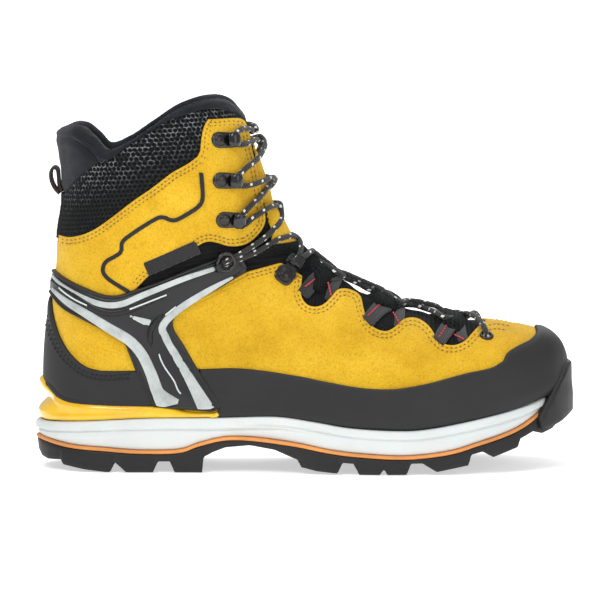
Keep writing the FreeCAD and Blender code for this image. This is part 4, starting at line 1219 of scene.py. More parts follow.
def make_contour_line():
    corners = [(94.4, 170.8), (95.4, 155.4), (93.4, 151.6), (79, 143.2), (71.6, 146.2), (49.2, 131.4),
               (49.3, 125.6), (39.4, 119.4), (38.1, 114.2), (41, 110.4), (53.5, 102.6)]
    path = cornered(corners, 1.2)
    for side in SIDES:
        line = sheet(f"contour_line_{side + 1}", band(path, [2.3, 2.3]), 0.65, -0.6, PRINT, "flex",
                     side=side,
                     edge=0.35, drop=0.2)
        dress(line, "rubber_black")


def make_side_tab():
    ring = band([(63.0, 115.6), (92.6, 128.2)], [8.0, 8.0])
    tab = sheet("woven_tab", ring, 0.8, -0.6, WEBBING, "shaft", side=-1, edge=0.5, drop=0.4)
    dress(tab, "webbing", "side_tab")


def offset_line(line, distance, step):
    """Evenly spaced points beside a line, and the direction along it."""
    path = curve(line, 0.5)
    direction = unit(np.gradient(path, axis=0))
    path = path + np.stack([direction[:, 1], -direction[:, 0]], 1) * distance
    travel = travelled(path)
    marks = np.arange(step / 2, travel[-1], step)
    return at_marks(path, travel, marks), at_marks(direction, travel, marks)


def pellet(centre, way, normal, length, width, height):
    """Small rounded bar lying along way on a surface."""
    sides = 6
    rings = ((-1.0, 0.35), (-0.6, 0.95), (0.6, 0.95), (1.0, 0.35))
    across = unit(np.cross(normal, way))
    way = np.cross(across, normal)
    points = []
    for share, girth in rings:
        for turn in range(sides):
            angle = 2 * math.pi * turn / sides
            offset = across * (math.cos(angle) * width) + normal * (math.sin(angle) * height)
            points.append(centre + way * (share * length / 2) + offset * (girth / 2))
    last = (len(rings) - 1) * sides
    caps = []
    for turn in range(1, sides - 1):
        caps += [(0, turn + 1, turn), (last, last + turn, last + turn + 1)]
    return np.array(points), np.vstack([grid_faces(len(rings), sides, True), caps])


def stitches_along(line, distance, step, side, lift, reach, size):
    """Small bars on the skin beside a line; reach is how far ahead each one looks for its direction."""
    spots, ways = offset_line(line, distance, step)
    keep = spots[:, 0] > 1
    spots, ways = spots[keep], ways[keep]
    centre, normal = on_skin(spots, side, lift)
    ahead, _ = on_skin(spots + ways * reach, side, lift)
    bars = []
    for spot, tip, up in zip(centre, ahead, normal):
        gap = np.linalg.norm(tip - spot)
        if gap > 0.05:
            bars.append(pellet(spot, (tip - spot) / gap, up, *size))
    return bars


def stitch_row(name, line, distances, material, body, lift, size):
    """Stitches on both sides of the boot, at each distance from the line."""
    bars = []
    for side in SIDES:
        for distance in distances:
            bars += stitches_along(line, distance, 2.6, side, lift, 0.8, size)
    dress(join(name, bars, material, body), "suede")


def make_stitches():
    """Two rows of thread along each suede edge, with a dark pellet of painted shade for the needle hole
    under each stitch.
    """
    thread_size = (1.9, 0.75, 0.6)
    hole_shade_size = (0.75, 0.85, 0.5)
    rows = (("throat", outline(*SCALLOPS[1:]), "foot"), ("vamp_rear", SCALLOPS[0], "foot"),
            ("cuff_top", CUFF_TOP, "shaft"), ("cuff_corner", CUFF_TOP[-1:] + CUFF_CORNER, "shaft"),
            ("cuff_front", CUFF_FRONT[:9], "shaft"), ("cuff_low", CUFF_FRONT[8:], "flex"))
    for name, line, body in rows:
        stitch_row(f"thread_{name}", line, STITCH_LINES, YELLOW_THREAD, body, -0.12, thread_size)
        # Painted shade: dark pellets where the needle holes are.
        stitch_row(f"holes_{name}", line, STITCH_LINES, NEEDLE_HOLE_SHADE, body, -0.02, hole_shade_size)
    stitch_row("thread_counter", COUNTER_TOP, (2.6, 5.0), PRINT, "foot", 2.05, (1.7, 0.9, 0.6))


# ---- sole -------------------------------------------------------------------------------------

SOLE_OUTSIDE = [(0.0, 0), (4, -14), (12, -25.5), (26, -34), (46, -38), (75, -38.5), (105, -39.5), (135, -43),
                (165, -48.5), (195, -53.5), (220, -55), (243, -53.5), (264, -49), (282, -40), (293, -29),
                (299, -16), (301.5, 0)]
SOLE_INSIDE = [(299, 17), (293, 30), (282, 40), (264, 48), (243, 51.5), (220, 51.5), (195, 49), (165, 42.5),
               (135, 36), (105, 33.5), (75, 35.5), (46, 37.5), (26, 34), (12, 25.5), (4, 14)]
SOLE_TIP = 301.5
SOLE_REACH = 299.0
STRIPE_THICKNESS = 2.0
TREAD_LINE = [(-4, 16), (0.4, 9), (3, 6.8), (7, 5.6), (14, 6.0), (16, 3.4), (28, 1.2), (40, 0),
              (42.5, 0), (45, 5.4), (51.5, 0), (66.8, 0), (69.6, 6), (76.6, 6), (79, 0), (95, 0),
              (95.6, 8.6), (101, 11.5), (108, 14.2), (122, 15.6), (136, 13.2), (146, 9), (150, 7.4),
              (151, 3.6), (160, 1.6), (172, 0.5), (174.5, 6.4), (181.5, 6.0), (184, 0), (196, 0),
              (197.6, 2.6), (198.6, 2.6), (200, 0), (211, 0.1), (213.5, 6.2), (220, 6.4), (228, 1.5),
              (246, 5.0), (247.5, 11), (254, 12.6), (260, 9.2), (274, 14.2), (275.5, 19), (283, 22.5),
              (288, 21), (294, 23), (299, 27), (302, 31), (306, 36)]


def sole_loop(step, toe_reach):
    """Evenly spaced points round the sole seen from above, and their outward directions."""
    shaped = []
    for x, y in SOLE_OUTSIDE + SOLE_INSIDE:
        x = x * (1 + (toe_reach - SOLE_TIP) / SOLE_TIP * smooth((x - 150) / 150))
        shaped.append((x, y + centre_shift(x)))
    ring = np.array(shaped)
    path = curve(np.vstack([ring[-2:], ring, ring[:3]]), 0.5)
    from_start = np.hypot(*(path - ring[0]).T)
    half = len(path) // 2
    path = path[np.argmin(from_start[:half]):half + np.argmin(from_start[half:])]
    closed = np.vstack([path, path[:1]])
    travel = travelled(closed)
    marks = np.linspace(0, travel[-1], int(travel[-1] / step), endpoint=False)
    spots = at_marks(closed, travel, marks)
    ahead = unit(np.roll(spots, -3, axis=0) - np.roll(spots, 3, axis=0))
    outward = np.stack([ahead[:, 1], -ahead[:, 0]], 1)
    if (outward * (spots - spots.mean(axis=0))).sum() < 0:
        outward = -outward
    return spots, outward


def smooth_height(line, x):
    """Height of a side-view line at x, by a smooth curve through its points."""
    path = curve(line, 0.6)
    return np.interp(x, path[:, 0], path[:, 1])


def sole_band(name, high, low, profile, material, count):
    """Closed ring of the sole; profile gives how far each wall point stands out."""
    deep = 9.0
    spots, outward = sole_loop(1.1, SOLE_REACH)
    top = high(spots[:, 0])
    bottom = low(spots[:, 0])
    rows = [np.column_stack([spots - outward * deep, top])]
    for share in np.linspace(0, 1, count):
        height = top + (bottom - top) * share
        push = profile(spots, height, top, bottom)
        push = push - 0.8 * rounding(np.minimum(top - height, height - bottom) / 0.9)
        rows.append(np.column_stack([spots + outward * push[:, None], height]))
    rows.append(np.column_stack([spots - outward * deep, bottom]))
    faces = grid_faces(len(rows), len(spots), True)
    last = (len(rows) - 1) * len(spots)
    first_row = np.arange(len(spots))
    next_row = np.roll(first_row, -1)
    closing = np.vstack([np.stack([last + first_row, last + next_row, next_row], 1),
                         np.stack([last + first_row, next_row, first_row], 1)])
    obj = make_mesh(name, np.vstack(rows), np.vstack([faces, closing]), material)
    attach(obj, "foot")
    return obj


def make_midsole():
    """Foam with a shelf and a crease below its top edge, at the heel and at the toe."""
    def profile(spots, height, top, bottom):
        below = top - height
        heel_shelf = smooth((168 - spots[:, 0]) / 40)
        toe_shelf = smooth((spots[:, 0] - 105) / 30)
        heel_line = 4.8 + 0.012 * spots[:, 0]
        bulge = 1.3 * np.sin(np.pi * np.clip((height - bottom) / np.maximum(top - bottom, 1), 0, 1)) ** 0.7
        step_heel = -1.5 * smooth((below - heel_line) / 1.6) * heel_shelf
        step_toe = -1.4 * smooth((below - 4.4) / 1.6) * toe_shelf
        crease = -1.7 * peak(below - heel_line, 0.6, 0.6) * heel_shelf
        crease -= 1.5 * peak(below, 5.0, 0.6) * toe_shelf
        low_wave = 0.5 * peak(below, 9.5, 1.6) * smooth((100 - spots[:, 0]) / 60)
        return bulge + step_heel + step_toe + crease + low_wave + 0.6

    midsole = sole_band("midsole_foam", lambda x: smooth_height(SOLE_SEAT, x) + 0.1,
                        lambda x: smooth_height(STRIPE_TOP, x), profile, FOAM, 26)
    dress(midsole, "midsole_white", "midsole")


def make_stripe():
    def profile(spots, height, top, bottom):
        return np.full(len(spots), 1.3)

    stripe = sole_band("sole_stripe_line", lambda x: smooth_height(STRIPE_TOP, x),
                       lambda x: smooth_height(STRIPE_TOP, x) - STRIPE_THICKNESS, profile, ORANGE, 7)
    dress(stripe, "stripe_orange", "sole_stripe")


def make_outsole():
    """Wall with stepped lugs, and a tread with a groove that runs to the middle line underneath."""
    spots, outward = sole_loop(0.8, SOLE_REACH + 1.5)
    x = spots[:, 0]
    top = smooth_height(STRIPE_TOP, x) - STRIPE_THICKNESS
    bottom = np.minimum(line_height(TREAD_LINE, x), top - 1.2)
    deep = smooth((bottom - 0.4 - np.interp(x, [0, 40, 205, 300], [5.5, 0, 0, 25])) / 3.5)
    rows = [np.column_stack([spots - outward * 9.0, top])]
    for share in (0.0, 0.12, 0.4, 0.7, 0.9, 1.0):
        height = top + (bottom - top) * share
        push = 0.7 - 0.5 * (share == 0) - 0.4 * (share == 1.0) + 0.9 * share - 1.6 * deep * share
        rows.append(np.column_stack([spots + outward * push[:, None], height]))
    middle_x = np.clip(x, 22, 276)
    middle = np.column_stack([middle_x, centre_shift(middle_x)])
    for share in (0.01, 0.06, 0.15, 0.3, 0.48, 0.66, 0.8, 0.82, 0.93, 1.0):
        place = spots + (middle - spots) * share
        place_x = place[:, 0]
        tread = np.minimum(line_height(TREAD_LINE, place_x + 3.0 * share),
                           line_height(STRIPE_TOP, place_x) - 4)
        if share > 0.81:
            tread = np.where((place_x > 152) & (place_x < 262), np.maximum(tread, 5.5), tread)
        rows.append(np.column_stack([place, tread]))
    points = np.vstack(rows)
    wall = make_mesh("outsole_tread", points, grid_faces(len(rows), len(spots), True), TREAD_RUBBER,
                     smooth_shade=False)
    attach(wall, "foot")
    ring = outline([(284.5, 30), (292, 44), (297.8, 53.5), (301, 59.5)], [(AHEAD, 60)], [(AHEAD, 30.5)],
                   [(302, 30.5), (299.5, 28.5), (294, 25.5), (286, 23.5)])

    def relief(data, distance):
        return 0.7 * smooth((50 - data[:, Z]) / 10)

    bumper = sheet("toe_bumper", ring, 4.6, 0.0, TREAD_RUBBER, "foot", edge=1.5, drop=2.4, relief=relief)
    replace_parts(wall, "outsole")
    for piece in (wall, bumper):
        dress(piece, "outsole_rubber")


def make_footbed():
    """Cupped insole between the walls of the lining."""
    xs = np.linspace(14, 284, 90)
    columns = 20
    thickness = 2.6
    seat_height = smooth_height(SOLE_SEAT, xs) + 5.0
    edges = []
    for side in SIDES:
        spot, _ = on_skin(np.column_stack([xs, seat_height + 6]), side, -8.2)
        edges.append(spot[:, 1])
    taper = 1.0
    for past_end in ((22 - xs) / 12, (xs - 262) / 22):
        taper = taper * np.sqrt(np.clip(1 - np.clip(past_end, 0, 1) ** 2, 0.02, 1))
    centre = (edges[0] + edges[1]) / 2
    rows = []
    for index, x in enumerate(xs):
        half = (edges[1][index] - edges[0][index]) / 2 * taper[index]
        shares = np.linspace(-1, 1, columns)
        cup = 2.6 * np.abs(shares) ** 3 * smooth((110 - x) / 60) + 1.2 * np.abs(shares) ** 3
        arch = 3.0 * peak(x, 95, 28) * smooth(shares)
        rows.append(np.column_stack([np.full(columns, x), centre[index] + half * shares,
                                     seat_height[index] + cup + arch]))
    top = np.vstack(rows)
    points, faces = thick_grid(top, top - np.array([0, 0, thickness]), len(xs), columns)
    bed = make_mesh("footbed_cloth", points, faces, INSOLE, points[:, :2])
    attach(bed, "insole")
    dress(bed, "footbed", "footbed")


# ---- laces and fittings -----------------------------------------------------------------------


def skin_path(points, step=0.9):
    """Smooth path over the boot through (x, z, side, lift); side 0 is the middle line of the front."""
    keys = []
    for x, z, side, lift in points:
        place, angle = locate(np.array([x, z]))
        keys.append((float(place), float(angle) * side, lift))
    keys = np.array(keys)
    path = []
    for number in range(len(keys) - 1):
        before = keys[max(number - 1, 0)]
        here, after = keys[number], keys[number + 1]
        beyond = keys[min(number + 2, len(keys) - 1)]
        path.append(spline(before, here, after, beyond, np.linspace(0, 1, 24, endpoint=False)[:, None]))
    path.append(keys[-1:])
    keys = np.vstack(path)
    spots = skin(keys[:, 0], keys[:, 1])
    normal = skin_normal(keys[:, 0], keys[:, 1])
    centre = skin(keys[:, 0], np.full(len(keys), math.pi))
    outward = np.sign(((spots - (centre + skin(keys[:, 0], np.zeros(len(keys)))) / 2) * normal).sum(-1))
    spots = spots + normal * (np.where(outward == 0, 1, outward) * keys[:, 2])[:, None]
    travel = travelled(spots)
    return at_marks(spots, travel, np.linspace(0, travel[-1], max(int(travel[-1] / step), 4)))


def end_caps(rows, sides, start, step):
    """Fans that close the two ends of a stack of rings, from the two points at start."""
    last = (rows - 1) * step
    caps = []
    for number in range(sides):
        following = (number + 1) % step
        caps.append((start, following, number))
        caps.append((start + 1, last + number, last + following))
    return caps


def tube(path, radius, sides=12):
    """Round cord along a path: points, faces, flat coordinates."""
    ahead = unit(np.gradient(path, axis=0))
    normal = unit(np.cross(ahead[0], [0.31, 0.92, 0.2]))
    frames = []
    for direction in ahead:
        normal = unit(normal - direction * np.dot(normal, direction))
        frames.append((normal, np.cross(direction, normal)))
    travel = travelled(path)
    points = []
    flat = []
    for spot, (first, second), u in zip(path, frames, travel):
        for number in range(sides + 1):
            angle = 2 * math.pi * number / sides
            points.append(spot + radius * (math.cos(angle) * first + math.sin(angle) * second))
            flat.append((u, number / sides))
    faces = grid_faces(len(path), sides + 1, False)
    start = len(points)
    points += [path[0], path[-1]]
    flat += [(travel[0], 0.5), (travel[-1], 0.5)]
    caps = end_caps(len(path), sides, start, sides + 1)
    return np.array(points), np.vstack([faces, caps]), np.array(flat)


CORD_RADIUS = 1.6


def make_cord(name, points, body):
    shape, faces, flat = tube(skin_path(points), CORD_RADIUS)
    cord = make_mesh(name, shape, faces, CORD, flat)
    follow(cord, body)
    dress(cord, "lace")
    return cord


def make_laces():
    """Criss-cross cord from the toe to the locks, then over the hooks; o is the outer side, i the inner."""
    o, i = -1, 1
    first = [(257, 76.5, o, -3.5), (256.5, 77.6, o, 1.6), (253, 82, o, 3.0), (247, 85.0, o * 0.35, 2.4),
             (243, 86.0, i * 0.35, 2.2), (238, 83, i, 2.4), (233, 83.5, i, 3.2),
             (226, 87.3, i * 0.5, 3.9), (218, 90.2, o * 0.3, 4.2), (211, 92.4, o * 0.8, 2.8),
             (207, 92.5, o, 2.4), (202, 94.6, o, 3.2), (194, 99.2, o * 0.5, 3.9),
             (186, 103, i * 0.3, 4.2), (178, 107.6, i * 0.8, 2.8), (173, 108.5, i, 2.4),
             (168, 111, i, 3.2), (161, 117.2, i * 0.45, 4.4), (155, 120.2, o * 0.3, 4.4),
             (150, 118.2, o * 0.9, 3.8), (146.5, 116.5, o, 3.0), (144, 119, o, 3.6)]
    crossing = 2.6
    second = [(x - 1.5, z + 0.6, -side, lift if abs(side) == 1 else lift - crossing)
              for x, z, side, lift in first]
    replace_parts(make_cord("lace_throat_a", first, "foot"), "lace_lower")
    make_cord("lace_throat_b", second, "foot")
    rise = [(104.5, 118.5, o, 3.4), (109.5, 120.8, o, 3.4), (117, 124.5, o, 2.2), (126, 130, o, 2.0),
            (134, 136.5, o, 2.2), (136.5, 142, o * 0.6, 2.8), (135.3, 148, i * 0.2, 4.6),
            (131, 149, i, 2.8), (123, 144.5, i, 2.4), (117.5, 140.5, i, 2.4), (113.6, 143.5, i, 2.6),
            (117, 147, i, 2.6), (122, 152.5, i, 3.0), (128.6, 158.5, i * 0.8, 3.2), (131, 163.5, 0, 5.0),
            (127.6, 165, o * 0.6, 4.2), (120, 162.6, o, 2.6), (115, 163.0, o, 2.4), (112.2, 166, o, 2.6),
            (115.5, 169.8, o, 2.6), (120, 173.8, o, 3.0), (124.5, 179, o * 0.8, 3.2), (126, 184, 0, 5.0),
            (123, 187.5, i * 0.6, 4.0), (117.5, 185.5, i, 2.6), (113.5, 185.8, i, 2.4),
            (111, 189, i, 2.6), (113.8, 193.2, i, 2.8), (118, 194.4, i * 0.9, 3.0),
            (121.8, 193, i * 0.4, 3.0), (122.6, 191.5, 0, 2.6)]
    second_rise = [(x, z, -side, lift - crossing if abs(side) < 1 else lift) for x, z, side, lift in rise]
    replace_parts(make_cord("lace_hooks_a", rise, "flex"), "lace_upper")
    make_cord("lace_hooks_b", second_rise, "flex")
    for name, side in (("lace_link_a", o), ("lace_link_b", i)):
        link = [(104.5, 117.4, side, 2.6), (112, 119.6, side, 2.4), (124, 124, side, 1.9),
                (137, 130.5, side, 2.2), (143.0, 130.5, side * 0.7, 2.8), (146, 127, side * -0.2, 3.4),
                (148.5, 121.5, side * -0.9, 3.0), (146.4, 117.2, -side, 3.0)]
        make_cord(name, link, "flex")


def moved(line, start):
    """A line given from its own start, at its place in the side view."""
    return [(start[0] + x, start[1] + z) for x, z in line]


def make_lace_loops():
    """Webbing straps from the scallop valleys to the throat, each with red bar stitches."""
    valleys = [(159.5, 93.6), (200, 80.6), (239, 72.8)]
    long_legs = [[(-7.5, 6.5), (2, 15.5), (14.5, 16.5)], [(-11.5, 4.5), (-2.5, 12.5), (9.5, 14.5)],
                 [(-10, 1.5), (-4, 8.5), (3.5, 12)]]
    short_legs = [[(8.0, 3.5), (10.5, 10.5), (14.5, 16.5)], [(7.0, 2.0), (8, 8.5), (9.5, 14.5)],
                  [(4.8, 2.2), (3.8, 6.5), (3.5, 12)]]
    reds = [[[(-6.3, 10.3), (6.1, 18.8)], [(6.8, 12.5), (8.8, 4.6)]],
            [[(-10.9, 7.3), (-2.5, 14.2)], [(3.3, 9.0), (7.2, 2.8)]],
            [[(-9.5, 3.4), (-4.1, 10)], [(-0.7, 4.5), (4.6, 2.2)]]]
    bars = []
    for number, valley in enumerate(valleys):
        legs = (("long", long_legs[number], [7.5, 8.0, 5.0], 0.5),
                ("short", short_legs[number], [6.0, 6.0, 5.0], -0.7))
        for side in SIDES:
            for leg, line, widths, top in legs:
                strap = sheet(f"lace_strap_{leg}_{number}_{side + 1}", band(moved(line, valley), widths),
                              top,
                              -1.9, WEBBING, "foot", side=side, edge=0.7, drop=0.5)
                nodes = ["lace_loops"] if (leg, number, side) == ("long", 0, -1) else []
                dress(strap, "webbing", *nodes)
            for line in reds[number]:
                bars += stitches_along(moved(line, valley), 0.0, 1.5, side, 0.75, 0.6, (1.7, 1.0, 0.9))
    dress(join("red_bar_stitches", bars, RED_THREAD, "foot"), "webbing")


def seat_frame(x, z, side, turn=0.0):
    """Origin and axes on the skin: along (towards the toe, turned up by turn), across, outward."""
    spots, normals = on_skin(np.array([[x, z], [x + 1.0, z]]), side)
    up = normals[0]
    level = spots[1] - spots[0]
    level = unit(level - up * np.dot(level, up))
    rise = np.cross(up, level)
    if rise[2] < 0:
        rise = -rise
    cosine = math.cos(math.radians(turn))
    sine = math.sin(math.radians(turn))
    return spots[0], cosine * level + sine * rise, cosine * rise - sine * level, up


def placed(seat, points, faces):
    """A shape moved onto a seat of the skin."""
    origin, along, across, up = seat
    return origin + points[:, :1] * along + points[:, 1:2] * across + points[:, 2:3] * up, faces


def dome(rings, sides=28, centre=(0.0, 0.0)):
    """Turned shape from (radius, height) rings, closed at both ends."""
    points = []
    for radius, height in rings:
        for number in range(sides):
            angle = 2 * math.pi * number / sides
            points.append((centre[0] + radius * math.cos(angle), centre[1] + radius * math.sin(angle),
                           height))
    faces = grid_faces(len(rings), sides, True)
    caps = end_caps(len(rings), sides, len(points), sides)
    points += [(*centre, rings[0][1]), (*centre, rings[-1][1])]
    return np.array(points), np.vstack([faces, caps])


def slab(outline_points, levels):
    """Flat shape with rounded edges from inset levels of (inset, height)."""
    ring = np.asarray(outline_points, float)
    centre = ring.mean(axis=0)
    ahead = unit(np.roll(ring, -1, axis=0) - np.roll(ring, 1, axis=0))
    inward = np.stack([-ahead[:, 1], ahead[:, 0]], 1)
    if (inward * (centre - ring)).sum() < 0:
        inward = -inward
    points = []
    for inset, height in levels:
        points.append(np.column_stack([ring + inward * inset, np.full(len(ring), height)]))
    points = np.vstack(points)
    faces = grid_faces(len(levels), len(ring), True)
    caps = end_caps(len(levels), len(ring), len(points), len(ring))
    points = np.vstack([points, [(*centre, levels[0][1]), (*centre, levels[-1][1])]])
    return points, np.vstack([faces, caps])


def stadium(left, right, half, nose):
    """Plan of a plate with round ends; nose is the half width at the right end."""
    count = 12
    points = []
    for number in range(count + 1):
        angle = -math.pi / 2 + math.pi * number / count
        points.append((right - nose + nose * math.cos(angle), nose * math.sin(angle)))
    for number in range(count + 1):
        angle = math.pi / 2 + math.pi * number / count
        points.append((left + half + half * math.cos(angle), half * math.sin(angle)))
    return points


HOOKS = [(104.6, 189), (105.7, 166), (107.5, 143.5)]


def hook_tongue():
    """Rolled tongue of a hook: a strip bent round, narrower towards its sides."""
    centre_x = 8.3
    centre_z = 3.2
    inner_share = 0.72
    across = np.linspace(-4.2, 4.2, 17)
    shrink = (1 - np.abs(across / 4.6) ** 3.0) ** 0.4
    rows = []
    for share in np.linspace(0, 1, 20):
        angle = math.pi * (0.05 + 1.42 * share)
        rows.append(np.column_stack([centre_x + 3.9 * shrink * math.sin(angle), across,
                                     centre_z - 2.9 * (0.35 + 0.65 * shrink) * math.cos(angle)]))
    outer = np.vstack(rows)
    inner = outer.copy()
    inner[:, 0] = centre_x + (outer[:, 0] - centre_x) * inner_share
    inner[:, 2] = centre_z + (outer[:, 2] - centre_z) * inner_share
    return thick_grid(outer, inner, len(rows), len(across))


def make_hooks():
    """Riveted speed hooks: a plate with round ends, a domed rivet, and a rolled tongue in front of it."""
    plate = slab(stadium(-5.2, 12.2, 4.7, 4.4),
                 [(0.5, -0.7), (0.0, -0.3), (0.0, 0.5), (0.25, 0.9), (0.8, 1.1)])
    rivet = dome([(3.6, 0.6), (3.6, 1.3), (3.1, 1.8), (2.4, 2.1), (1.3, 2.35), (0.3, 2.4)])
    plates = []
    rivets = []
    for x, z in HOOKS:
        for side in SIDES:
            seat = seat_frame(x, z, side, -3.0)
            plates += [placed(seat, *plate), placed(seat, *hook_tongue())]
            rivets.append(placed(seat, *rivet))
    dress(join("speed_hooks", plates, METAL, "shaft"), "metal_black", "lace_hooks")
    dress(join("hook_rivet_caps", rivets, BRONZE, "shaft"), "metal_black", "hook_rivets")


LOCK = (142, 111)
LOCK_TURN = 48.0


def rounded_square(reach, power, centre_x, count=40):
    """Plan of a plate between a square and a circle."""
    corners = []
    for number in range(count):
        angle = 2 * math.pi * number / count
        cosine = math.cos(angle)
        sine = math.sin(angle)
        size = reach / (abs(cosine) ** power + abs(sine) ** power) ** (1 / power)
        corners.append((size * cosine + centre_x, size * sine))
    return corners


def make_locks():
    """Rounded-square lock plate with a big rivet; the clamp stays the modelled moving part."""
    centre_x = -0.3
    plate = slab(rounded_square(5.6, 3.4, centre_x),
                 [(0.4, -0.6), (0, -0.2), (0, 0.7), (0.35, 1.15), (0.9, 1.3), (1.6, 1.2)])
    rivet = dome([(4.0, 0.8), (4.0, 1.7), (3.5, 1.9), (3.2, 1.75), (2.9, 1.8), (2.2, 2.15), (1.2, 2.35),
                  (0.3, 2.4)], centre=(centre_x, 0.0))
    seats = [seat_frame(*LOCK, side, LOCK_TURN) for side in SIDES]
    dress(join("lock_base_plates", [placed(seat, *plate) for seat in seats], METAL, "foot"), "metal_black")
    caps = join("lock_rivet_caps", [placed(seat, *rivet) for seat in seats], BRONZE, "foot")
    dress(caps, "metal_black", "lock_rivets")
    for side in SIDES:
        ring = band([(146, 116), (151, 123), (153, 130)], [9.0, 9.5, 9.5])
        strap = sheet(f"lock_strap_{side + 1}", ring, 1.2, -1.5, WEBBING, "foot", side=side, edge=0.8,
                      drop=0.6)
        dress(strap, "webbing")


def make_toe_eyelets():
    ring = dome([(2.1, -1.5), (2.1, 0.2), (2.5, 0.7), (3.2, 0.9), (3.9, 0.6), (4.1, 0.1), (4.1, -0.8)])
    rings = [placed(seat_frame(257, 77, side), *ring) for side in SIDES]
    eyelets = join("toe_eyelet_rings", rings, BRONZE, "foot")
    dress(eyelets, "metal_black", "toe_eyelets")


PULL_WIDTH = 16.0


def loop_grid(line, widths):
    """Points of a ribbon that follows a side-view line."""
    return np.array([(x, y, z) for x, z in line for y in widths])


def make_pull_loop():
    """Folded webbing with a maroon inner face."""
    half = PULL_WIDTH / 2
    path = [(12.6, 156.6), (10.0, 159.5), (8.2, 163.0), (7.4, 167.0), (8.0, 170.4), (9.8, 171.8),
            (11.6, 170.6), (12.2, 167.0), (12.6, 162.0), (13.8, 157.5)]
    line = curve(path, 0.7)
    ahead = unit(np.gradient(line, axis=0))
    normal = np.stack([ahead[:, 1], -ahead[:, 0]], 1)
    layers = (("pull_loop_webbing", WEBBING, -0.65, 0.65, 1.0, ["pull_loop"]),
              ("pull_loop_facing", MAROON, 0.66, 1.1, 0.9, []))
    for name, material, start, end, share, nodes in layers:
        widths = np.linspace(-half, half, 13)
        outer = loop_grid(line + normal * start, widths * share)
        inner = loop_grid(line + normal * end, widths * share)
        points, faces = thick_grid(outer, inner, len(line), len(widths))
        flat = np.array([(u, y) for u in travelled(line) for y in widths])
        piece = make_mesh(name, points, faces, material, np.vstack([flat, flat]))
        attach(piece, "loop")
        dress(piece, "webbing", *nodes)


def make_heel_strip():
    """Webbing ribbon down the middle of the back, under the pull loop."""
    heights = np.linspace(131.5, 156.8, 18)
    widths = np.linspace(-PULL_WIDTH / 2, PULL_WIDTH / 2, 15)
    reach = np.linspace(0.0, 30.0, 70)
    layers = []
    for lift in (1.0, -0.7):
        rows = []
        for z in heights:
            view = np.column_stack([reach, np.full(len(reach), z)])
            spots = np.vstack([on_skin(view, side, lift)[0] for side in SIDES])
            spots = spots[np.argsort(spots[:, 1])]
            rows.append(np.column_stack([np.interp(widths, spots[:, 1], spots[:, 0]), widths,
                                         np.interp(widths, spots[:, 1], spots[:, 2])]))
        layers.append(np.vstack(rows))
    points, faces = thick_grid(layers[0], layers[1], len(heights), len(widths))
    flat = np.array([(y, z) for z in heights for y in widths])
    strip = make_mesh("heel_strip_webbing", points, faces, WEBBING, np.vstack([flat, flat]))
    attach(strip, "shaft")
    dress(strip, "webbing", "heel_strip")


# ---- studio -----------------------------------------------------------------------------------

WHITE = (1.0, 1.0, 1.0, 1.0)


def studio_world():
    """Soft even light; the camera itself sees plain white."""
    world = bpy.data.worlds.new("studio")
    bpy.context.scene.world = world
    world.use_nodes = True
    tree = world.node_tree
    soft = tree.nodes["Background"]
    soft.inputs["Color"].default_value = WHITE
    soft.inputs["Strength"].default_value = 0.52
    plain = tree.nodes.new("ShaderNodeBackground")
    plain.inputs["Color"].default_value = WHITE
    mix = tree.nodes.new("ShaderNodeMixShader")
    path = tree.nodes.new("ShaderNodeLightPath")
    tree.links.new(path.outputs["Is Camera Ray"], mix.inputs[0])
    tree.links.new(soft.outputs[0], mix.inputs[1])
    tree.links.new(plain.outputs[0], mix.inputs[2])
    tree.links.new(mix.outputs[0], tree.nodes["World Output"].inputs["Surface"])


def studio_lamps():
    """Four area lamps round the boot: name, offset and size in metres, power in watts."""
    middle = Vector(tuple((np.array(cad_low) + np.array(cad_high)) / 2))
    lamps = (("key", (-0.55, -1.1, 1.25), 0.7, 11.0), ("fill", (0.9, -1.2, 0.55), 0.8, 3.0),
             ("top", (0.1, 0.15, 1.5), 0.9, 9.0), ("back", (0.4, 1.3, 0.8), 0.9, 5.0))
    for name, offset, size, power in lamps:
        data = bpy.data.lights.new(name, "AREA")
        data.energy = power
        data.size = size
        lamp = add_to_scene(name, data)
        lamp.location = middle + Vector(offset)
        lamp.rotation_euler = (middle - lamp.location).to_track_quat("-Z", "Y").to_euler()


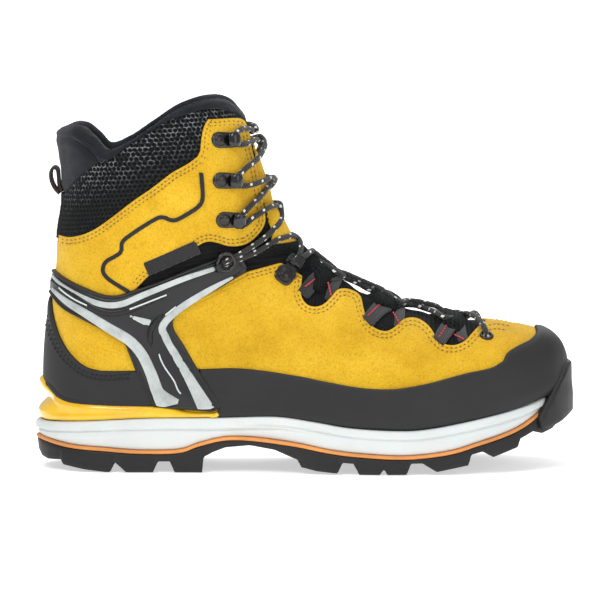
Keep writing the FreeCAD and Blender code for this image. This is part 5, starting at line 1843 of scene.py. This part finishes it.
def studio_floor():
    """White ground that glows with distance, so that no horizon shows."""
    ground = min(cad_low[2], 0.0) - 0.0004
    reach = 60.0
    mesh = bpy.data.meshes.new("studio_floor")
    corners = [(x * reach, y * reach, ground) for x, y in ((-1, -1), (1, -1), (1, 1), (-1, 1))]
    mesh.from_pydata(corners, [], [(0, 1, 2, 3)])
    floor = add_to_scene("studio_floor", mesh)
    paint = Paint("studio_floor")
    patch = paint.noise(3.0, 2.0)
    paint.colour(paint.ramp(patch, (0.3, grey(0.90)), (0.7, grey(0.93))))
    place = paint.node("VectorMath", operation="LENGTH")
    paint.link(paint.coords.outputs["Object"], place.inputs[0])
    glow = paint.node("MapRange", From_Min=0.35, From_Max=1.3, To_Min=0.54, To_Max=1.0)
    paint.link(place.outputs["Value"], glow.inputs["Value"])
    paint.link(glow.outputs[0], paint.surface.inputs["Emission Strength"])
    paint.set(Roughness=0.9, Specular_IOR_Level=0.1, Emission_Color=WHITE)
    mesh.materials.append(paint.material)


def studio_camera():
    """Long lens from the outer side, a little above the ground."""
    view_width = 345.0
    distance = 3.2
    lift = math.radians(5.0)
    aim = Vector(tuple(row([150.5, 0.0, 95.0])))
    data = bpy.data.cameras.new("camera")
    data.sensor_width = 36.0
    data.lens = data.sensor_width * distance / (view_width * MM)
    data.clip_end = 50.0
    camera = add_to_scene("camera", data)
    camera.location = aim + distance * Vector((0.0, -math.cos(lift), math.sin(lift)))
    camera.rotation_euler = (aim - camera.location).to_track_quat("-Z", "Y").to_euler()
    bpy.context.scene.camera = camera


def finish_modelled_parts():
    """Looks of the modelled parts that are shown as they are."""
    looks = {
        "shank": METAL, "insole_board": BOARD, "toe_puff": BOARD, "heel_stiffener": BOARD,
        "lock_plates": METAL, "lock_clamp_outer": METAL, "lock_clamp_inner": METAL,
        "lace_guide_outer": METAL, "lace_guide_inner": METAL, "guide_keepers": PLASTIC_DARK,
    }
    for name, material in looks.items():
        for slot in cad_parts[name].material_slots:
            slot.material = material


BUILDERS = (make_vamp, make_quarter, make_cuff, make_collar_mesh, make_collar_cover, make_achilles_pad,
            make_lining, make_tongue, make_flex_panel, make_gusset, make_rand, make_heel_counter,
            make_heel_frame, make_brace, make_brace_bands, make_contour_line, make_side_tab,
            make_stitches, make_midsole, make_stripe, make_outsole, make_footbed, make_laces,
            make_lace_loops, make_hooks, make_locks, make_toe_eyelets, make_pull_loop, make_heel_strip)
for build in BUILDERS:
    build()
finish_modelled_parts()
studio_world()
studio_lamps()
studio_floor()
studio_camera()
bpy.context.scene.view_settings.view_transform = "Standard"
